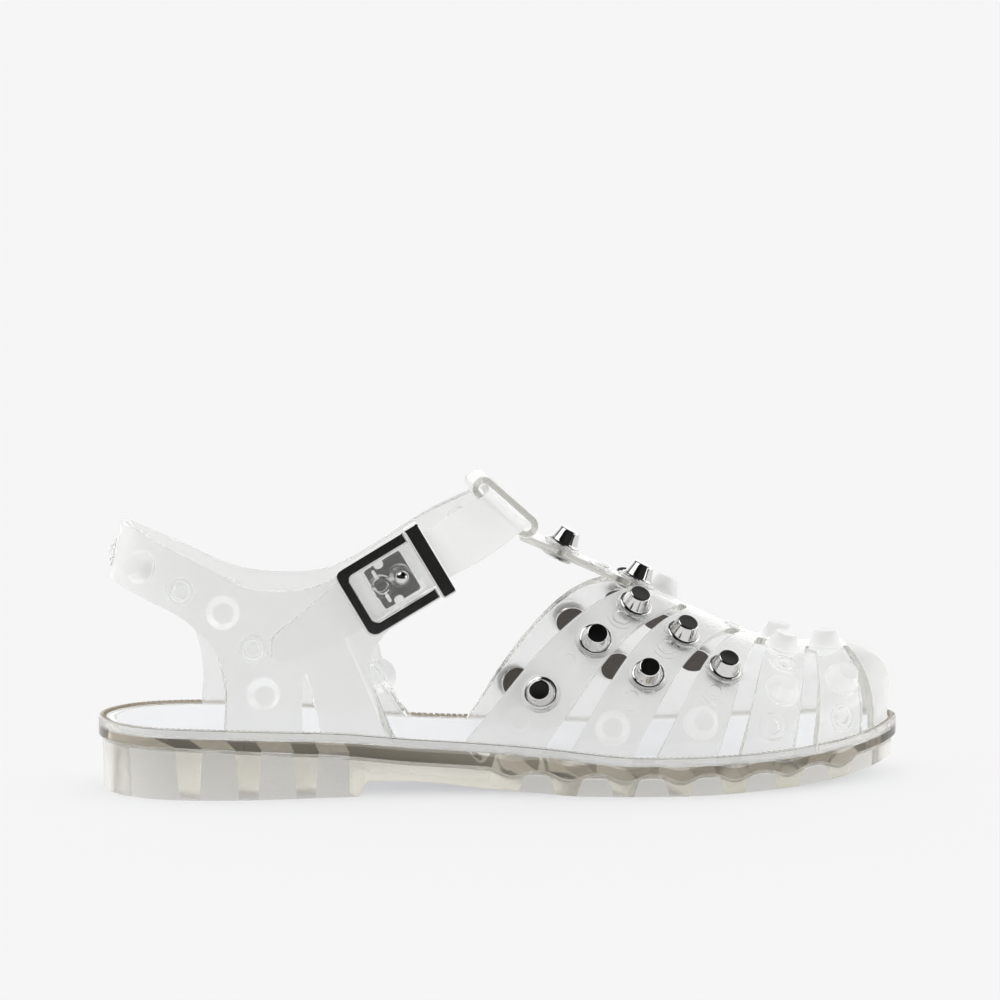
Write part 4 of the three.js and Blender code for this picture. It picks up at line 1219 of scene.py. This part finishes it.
metals = []
for number, place in enumerate(metalPlaces, 1):
    stud = flattened(turned(studProfile(), place, studSizes["segments"], f"stud_{number}_turned"))
    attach(stud, "root")
    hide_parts(f"stud_{number}")
    metals.append(stud)
    flat = (rowFrame @ place).inverted()
    for face in stud.data.polygons:  # slot 1 is the bare back of the disc
        x, y, z = flat @ face.center
        face.material_index = int(z < -wall / 2 and hypot(x, y) < studSizes["disc"] - 0.5)
print("studs", len(metals))


def raisedSlab(outline, low, thickness, name):
    bm = bmesh.new()
    face = bm.faces.new([bm.verts.new((x, y, low)) for x, y in outline])
    raised = bmesh.ops.extrude_face_region(bm, geom=[face])
    lifted = [item for item in raised["geom"] if isinstance(item, bmesh.types.BMVert)]
    bmesh.ops.translate(bm, vec=(0, 0, thickness), verts=lifted)
    bmesh.ops.recalc_face_normals(bm, faces=bm.faces)
    return objectInRow(bm, name)


def slabFrom(outline, low, thickness, edge, name, holes=()):
    # a flat outline raised to a slab with rounded edges, then laid on the shoe's side
    slab = raisedSlab(outline, low, thickness, name)
    if holes:
        cutters = [raisedSlab(hole, low - 1, thickness + 2, "slab_cutter") for hole in holes]
        fuse(slab, cutters, "DIFFERENCE")
    bm = bmesh.new()
    bm.from_mesh(slab.data)
    bpy.data.objects.remove(slab)
    bmesh.ops.dissolve_limit(bm, angle_limit=radians(1), verts=bm.verts, edges=bm.edges)
    sharp = [e for e in bm.edges if len(e.link_faces) == 2 and e.calc_face_angle() > radians(60)]
    bmesh.ops.bevel(bm, geom=sharp, offset=edge, segments=4, profile=0.5, affect="EDGES",
                    material=-1)
    bmesh.ops.transform(bm, matrix=buckleLaid, verts=bm.verts)
    return flattened(objectFrom(bm, name, 50))


def roundedOutline(x, y, slabLength, width, radius):
    right, top = slabLength / 2 - radius, width / 2 - radius
    corners = ((right, top), (-right, top), (-right, -top), (right, -top))
    points = []
    for quarter, (cx, cy) in enumerate(corners):
        points += arcPoints(x + cx, y + cy, radius, 90 * quarter, 90 * quarter + 90, 6)
    return points


def frameOutline(frameLength, shift):
    # three sides with rounded left corners, the arms open towards the cross bar
    b = buckleSizes
    left, right = shift - frameLength / 2, shift + frameLength / 2
    half = b["width"] / 2
    inner = half - b["bar"]
    outerAt, innerAt = left + b["corner"], left + b["bar"] + b["windowCorner"]
    points = [(right, half)]
    points += arcPoints(outerAt, half - b["corner"], b["corner"], 90, 180)
    points += arcPoints(outerAt, b["corner"] - half, b["corner"], 180, 270)
    points += [(right, -half), (right, -inner)]
    points += arcPoints(innerAt, b["windowCorner"] - inner, b["windowCorner"], 270, 180, 6)
    points += arcPoints(innerAt, inner - b["windowCorner"], b["windowCorner"], 180, 90, 6)
    return points + [(right, inner)]


def makeBuckle():
    b = buckleSizes
    frameLength = b["length"] - b["barWidth"] - gap
    outline = frameOutline(frameLength, -(b["barWidth"] + gap) / 2)
    ring = slabFrom(outline, frameLow, b["frameThickness"], b["frameBevel"],
                    "buckle_frame_bevelled")
    outline = roundedOutline(frameLength / 2 + gap / 2, 0, b["barWidth"], b["width"] + 1, 1.0)
    bar = slabFrom(outline, frameLow, b["barThickness"], b["frameBevel"], "buckle_bar_bevelled")
    # hinge plate with a notch in each side and two small holes by its knuckles
    outline = roundedOutline(0, 0, b["plateLength"], b["plateWidth"], 1.0)
    knuckle, notch = -b["plateLength"] / 2 + 2.6, b["plateWidth"] / 2 - 0.6
    holes = [roundedOutline(knuckle + 2.6, side * notch, 3.0, 2.6, 1.2) for side in (-1, 1)]
    holes += [roundedOutline(knuckle, side * 4.2, 1.0, 3.0, 0.45) for side in (-1, 1)]
    plate = slabFrom(outline, plateLow, b["plateThickness"], b["plateBevel"],
                     "buckle_plate_bevelled", holes)
    neck = strapOut + wall / 2
    foot = plateLow + b["plateThickness"] + gap
    ball = arcPoints(0, neck + b["ballRadius"], b["ballRadius"], -50, 90, 12)
    profile = [(0, foot), (b["pinRadius"], foot), (b["pinRadius"], neck)] + ball[:-1]
    profile.append((0, neck + 2 * b["ballRadius"]))
    pinPlace = buckleLaid @ Matrix.Translation((b["pinShift"], 0, 0))
    pin = turned(profile, pinPlace, 40, "buckle_pin_turned")
    nodes = ("buckle_frame", "buckle_cross_bar", "buckle_plate", "buckle_pin")
    for piece, node in zip((ring, bar, plate, pin), nodes):
        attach(piece, "root")
        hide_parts(node)
        metals.append(piece)


makeBuckle()
print("buckle ready")


# materials
def newMaterial(name):
    material = bpy.data.materials.new(name)
    material.use_nodes = True
    tree = material.node_tree
    return material, tree.nodes, tree.links, tree.nodes["Principled BSDF"]


def makeGrain():
    # one grain for every finish, on object coordinates: its mask, a roughness and a bump
    group = bpy.data.node_groups.new("moulded_grain", "ShaderNodeTree")
    for name in ("Scale", "Detail", "Low", "High", "Strength", "Distance"):
        group.interface.new_socket(name, in_out="INPUT", socket_type="NodeSocketFloat")
    for name, kind in (("Mask", "Float"), ("Roughness", "Float"), ("Normal", "Vector")):
        group.interface.new_socket(name, in_out="OUTPUT", socket_type="NodeSocket" + kind)
    nodes, links = group.nodes, group.links
    given, result = nodes.new("NodeGroupInput"), nodes.new("NodeGroupOutput")
    coords = nodes.new("ShaderNodeTexCoord")
    noise = nodes.new("ShaderNodeTexNoise")
    spread = nodes.new("ShaderNodeMapRange")
    bump = nodes.new("ShaderNodeBump")
    links.new(coords.outputs["Object"], noise.inputs["Vector"])
    links.new(noise.outputs["Fac"], spread.inputs["Value"])
    links.new(noise.outputs["Fac"], bump.inputs["Height"])
    for name, node, socket in (("Scale", noise, "Scale"), ("Detail", noise, "Detail"),
                               ("Low", spread, "To Min"), ("High", spread, "To Max"),
                               ("Strength", bump, "Strength"), ("Distance", bump, "Distance")):
        links.new(given.outputs[name], node.inputs[socket])
    links.new(noise.outputs["Fac"], result.inputs["Mask"])
    links.new(spread.outputs["Result"], result.inputs["Roughness"])
    links.new(bump.outputs["Normal"], result.inputs["Normal"])
    return group


grain = makeGrain()
finishes = tableOf("name scale detail low high strength distance", [
    ("clear_vinyl_gloss", 260, 3, 0.04, 0.1, 0.12, 0.0004),
    ("clear_vinyl_frosted", 900, 3, 0.4, 0.52, 0.2, 0.0004),
    ("clear_vinyl_edge", 300, 3, 0.08, 0.16, 0.12, 0.0004),
    ("tinted_vinyl", 200, 3, 0.03, 0.12, 0.12, 0.0004),
    ("tinted_vinyl_frosted", 800, 3, 0.14, 0.26, 0.1, 0.0004),
    ("tinted_vinyl_edge", 900, 3, 0.15, 0.25, 0.3, 0.0004),
    ("tinted_vinyl_band", 160, 3, 0.03, 0.1, 0.12, 0.0004),
    ("tinted_vinyl_hollow", 1100, 3, 0.35, 0.5, 0.5, 0.0004),
    ("chrome", 300, 3, 0.04, 0.14, 0.05, 0.0002),
    ("disc_steel", 700, 3, 0.3, 0.42, 0.08, 0.0002),
    ("footbed_white", 1400, 6, 0.45, 0.6, 0.3, 0.0003),
])
vinylRows = tableOf("name colour clear", [
    ("clear_vinyl_gloss", (0.97, 0.975, 0.965), 0.93),
    ("clear_vinyl_frosted", (0.945, 0.95, 0.938), 0.55),
    # painted shade: a darker grey copy of the clear vinyl for the straps' edges
    ("clear_vinyl_edge", (0.62, 0.61, 0.57), 0.8),
    ("tinted_vinyl", (0.98, 0.975, 0.96), 0.93),
    ("tinted_vinyl_frosted", (0.94, 0.935, 0.91), 0.92),
    # painted shade: a darker brown copy of the sole vinyl for the pinked edge and its teeth
    ("tinted_vinyl_edge", (0.4, 0.34, 0.26), 0.5),
    # painted shade: a darker copy of the sole vinyl for the band over the step
    ("tinted_vinyl_band", (0.5, 0.46, 0.4), 0.95),
    ("tinted_vinyl_hollow", (1.0, 1.0, 0.985), 0.3),
])
smoke = {"colour": (0.69, 0.665, 0.6, 1), "density": 25.0}
vinylIor = 1.46


def grained(name):
    # a new material with its own grain, whose mask comes back for its colours
    material, nodes, links, shader = newMaterial(name)
    node = nodes.new("ShaderNodeGroup")
    node.node_tree = grain
    row = next(row for row in finishes if row["name"] == name)
    for socket in node.inputs:
        socket.default_value = row[socket.name.lower()]
    links.new(node.outputs["Roughness"], shader.inputs["Roughness"])
    links.new(node.outputs["Normal"], shader.inputs["Normal"])
    return material, nodes, links, shader, node.outputs["Mask"]


def blend(nodes, links, factor, a, b):
    colour = nodes.new("ShaderNodeMix")
    colour.data_type = "RGBA"
    colour.inputs["A"].default_value = (*a, 1)
    colour.inputs["B"].default_value = (*b, 1)
    links.new(factor, colour.inputs["Factor"])
    return colour.outputs["Result"]


def makeVinyl(row):
    material, nodes, links, shader, mask = grained(row["name"])
    shader.inputs["Base Color"].default_value = (*row["colour"], 1)
    shader.inputs["Transmission Weight"].default_value = row["clear"]
    shader.inputs["IOR"].default_value = vinylIor
    if row["name"].startswith("tinted"):
        volume = nodes.new("ShaderNodeVolumeAbsorption")
        volume.inputs["Color"].default_value = smoke["colour"]
        volume.inputs["Density"].default_value = smoke["density"]
        links.new(volume.outputs["Volume"], nodes["Material Output"].inputs["Volume"])
    return material


def makeChrome():
    material, nodes, links, shader, mask = grained("chrome")
    shader.inputs["Base Color"].default_value = (0.72, 0.71, 0.7, 1)
    shader.inputs["Metallic"].default_value = 1.0
    return material


def makeDiscPaintedDark():
    # steel of the discs inside, duller than the plated cones, in a very dark colour that is a
    # painted dark reflection
    material, nodes, links, shader, mask = grained("disc_steel")
    shader.inputs["Metallic"].default_value = 1.0
    colour = blend(nodes, links, mask, (0.085, 0.075, 0.066), (0.12, 0.11, 0.1))
    links.new(colour, shader.inputs["Base Color"])
    return material


def makeFootbed():
    material, nodes, links, shader, mask = grained("footbed_white")
    colour = blend(nodes, links, mask, (0.8, 0.81, 0.83), (0.88, 0.885, 0.9))
    links.new(colour, shader.inputs["Base Color"])
    return material


def dress(piece, *materials):
    # faces keep their slot numbers
    while len(piece.data.materials) < len(materials):
        piece.data.materials.append(None)
    for slot, material in enumerate(materials):
        piece.data.materials[slot] = material
    while len(piece.data.materials) > len(materials):
        piece.data.materials.pop()


vinyls = [makeVinyl(row) for row in vinylRows]  # three for the upper, five for the sole
metalFinishes = (makeChrome(), makeDiscPaintedDark())
dress(upper, *vinyls[:3])
dress(sole, *vinyls[3:])
dress(insole, makeFootbed())
for piece in metals:
    dress(piece, *metalFinishes)
for piece in (upper, sole):
    # light passes through the clear vinyl to the floor
    piece.visible_shadow = False
    piece.visible_diffuse = False
insole.visible_shadow = False
print("materials ready")

# stage
camera = {
    "azimuth": -8.0,
    "elevation": 8.4,
    "distance": 6.0,
    "frameWidth": 0.3096,
    "aim": (0.0, 0.0, 0.0876),
}
# the studio's parts as the facing from and to which their light goes from start to end
stage = {
    "floorHalf": 40.0,
    "white": 0.924,
    "floorWhite": 0.86,
    "floorDark": 0.02,
    "gain": 1.24,
    "mirrorDarkFloor": (-0.34, -0.22, 1.0, 0.0),
    "soft": (0.2, 0.75, 1.0, 0.35),
    "front": (-0.35, 0.1, 1.0, 0.02),
    "ceiling": (0.4, 0.7, 1.0, 0.05),
    "strip": (0.8, 0.86, 0.0, 1.5),
    "stripFade": (0.0, 0.6, 1.0, 0.0),
    "overhead": (0.9, 0.95, 0.0, 1.5),
    "overheadAt": (-0.5, -0.1, 0.86),
}


def makeCamera():
    c = camera
    a, e = radians(c["azimuth"]), radians(c["elevation"])
    back = Vector((sin(a) * cos(e), -cos(a) * cos(e), sin(e)))
    data = bpy.data.cameras.new("camera")
    data.sensor_width = 36
    data.lens = 36 * c["distance"] / c["frameWidth"]
    data.clip_end = 200
    rig = bpy.data.objects.new("camera", data)
    scene.collection.objects.link(rig)
    rig.location = Vector(c["aim"]) + back * c["distance"]
    rig.rotation_euler = back.to_track_quat("Z", "Y").to_euler()
    scene.camera = rig
    return back


def setOrLink(links, socket, value):
    if isinstance(value, (int, float)):
        socket.default_value = value
    else:
        links.new(value, socket)


def mathNode(nodes, links, operation, a, b):
    node = nodes.new("ShaderNodeMath")
    node.operation = operation
    setOrLink(links, node.inputs[0], a)
    setOrLink(links, node.inputs[1], b)
    return node.outputs["Value"]


def spreadNode(nodes, links, source, low, high, start, end):
    spread = nodes.new("ShaderNodeMapRange")
    spread.interpolation_type = "SMOOTHSTEP"
    spread.inputs["From Min"].default_value = low
    spread.inputs["From Max"].default_value = high
    spread.inputs["To Min"].default_value = start
    spread.inputs["To Max"].default_value = end
    links.new(source, spread.inputs["Value"])
    return spread.outputs["Result"]


def makeFloor():
    # white table, whose colour turns dark for mirror rays a little way in front of the shoe: a
    # painted dark reflection
    bm = bmesh.new()
    bmesh.ops.create_grid(bm, x_segments=1, y_segments=1, size=stage["floorHalf"])
    floor = objectInRow(bm, "floor")
    material, nodes, links, shader = newMaterial("floor_white")
    coords = nodes.new("ShaderNodeTexCoord")
    parts = nodes.new("ShaderNodeSeparateXYZ")
    links.new(coords.outputs["Object"], parts.inputs["Vector"])
    path = nodes.new("ShaderNodeLightPath")
    near = spreadNode(nodes, links, parts.outputs["Y"], *stage["mirrorDarkFloor"])
    dark = mathNode(nodes, links, "MULTIPLY", near, path.outputs["Is Glossy Ray"])
    colour = blend(nodes, links, dark, 3 * [stage["floorWhite"]], 3 * [stage["floorDark"]])
    links.new(colour, shader.inputs["Base Color"])
    shader.inputs["Roughness"].default_value = 0.9
    shader.inputs["Specular IOR Level"].default_value = 0.0
    dress(floor, material)


def makeDome(back):
    # soft white light from the sides and behind, a dark studio in front and overhead
    world = bpy.data.worlds.new("studio")
    scene.world = world
    world.use_nodes = True
    nodes, links = world.node_tree.nodes, world.node_tree.links
    background = nodes["Background"]
    coords = nodes.new("ShaderNodeTexCoord")
    path = nodes.new("ShaderNodeLightPath")

    def facing(direction, name):
        dot = nodes.new("ShaderNodeVectorMath")
        dot.operation = "DOT_PRODUCT"
        dot.inputs[1].default_value = direction
        links.new(coords.outputs["Generated"], dot.inputs[0])
        return spreadNode(nodes, links, dot.outputs["Value"], *stage[name])

    def pick(factor, a, b):
        mixed = nodes.new("ShaderNodeMix")
        for name, value in (("Factor", factor), ("A", a), ("B", b)):
            setOrLink(links, mixed.inputs[name], value)
        return mixed.outputs["Result"]

    def join(operation, a, b):
        return mathNode(nodes, links, operation, a, b)

    up = Vector((0, 0, 1))
    level = Vector((back.x, back.y, 0)).normalized()
    side = Vector((-level.y, level.x, 0))
    mirror = join("MULTIPLY", facing(level, "front"), facing(up, "ceiling"))
    strips = join("MULTIPLY", facing(side, "strip"), facing(up, "stripFade"))
    overhead = facing(Vector(stage["overheadAt"]).normalized(), "overhead")
    mirror = join("ADD", join("ADD", mirror, strips), overhead)
    light = pick(path.outputs["Is Glossy Ray"], facing(level, "soft"), mirror)
    light = join("MULTIPLY", light, stage["gain"])
    strength = pick(path.outputs["Is Camera Ray"], light, stage["white"])
    links.new(strength, background.inputs["Strength"])
    background.inputs["Color"].default_value = (1, 1, 1, 1)


cameraBack = makeCamera()
makeFloor()
makeDome(cameraBack)
scene.view_settings.view_transform = "Standard"
scene.view_settings.look = "None"
scene.cycles.use_denoising = True
scene.cycles.max_bounces = 24
scene.cycles.transmission_bounces = 20
scene.cycles.glossy_bounces = 8
scene.cycles.transparent_max_bounces = 16
print("stage ready")
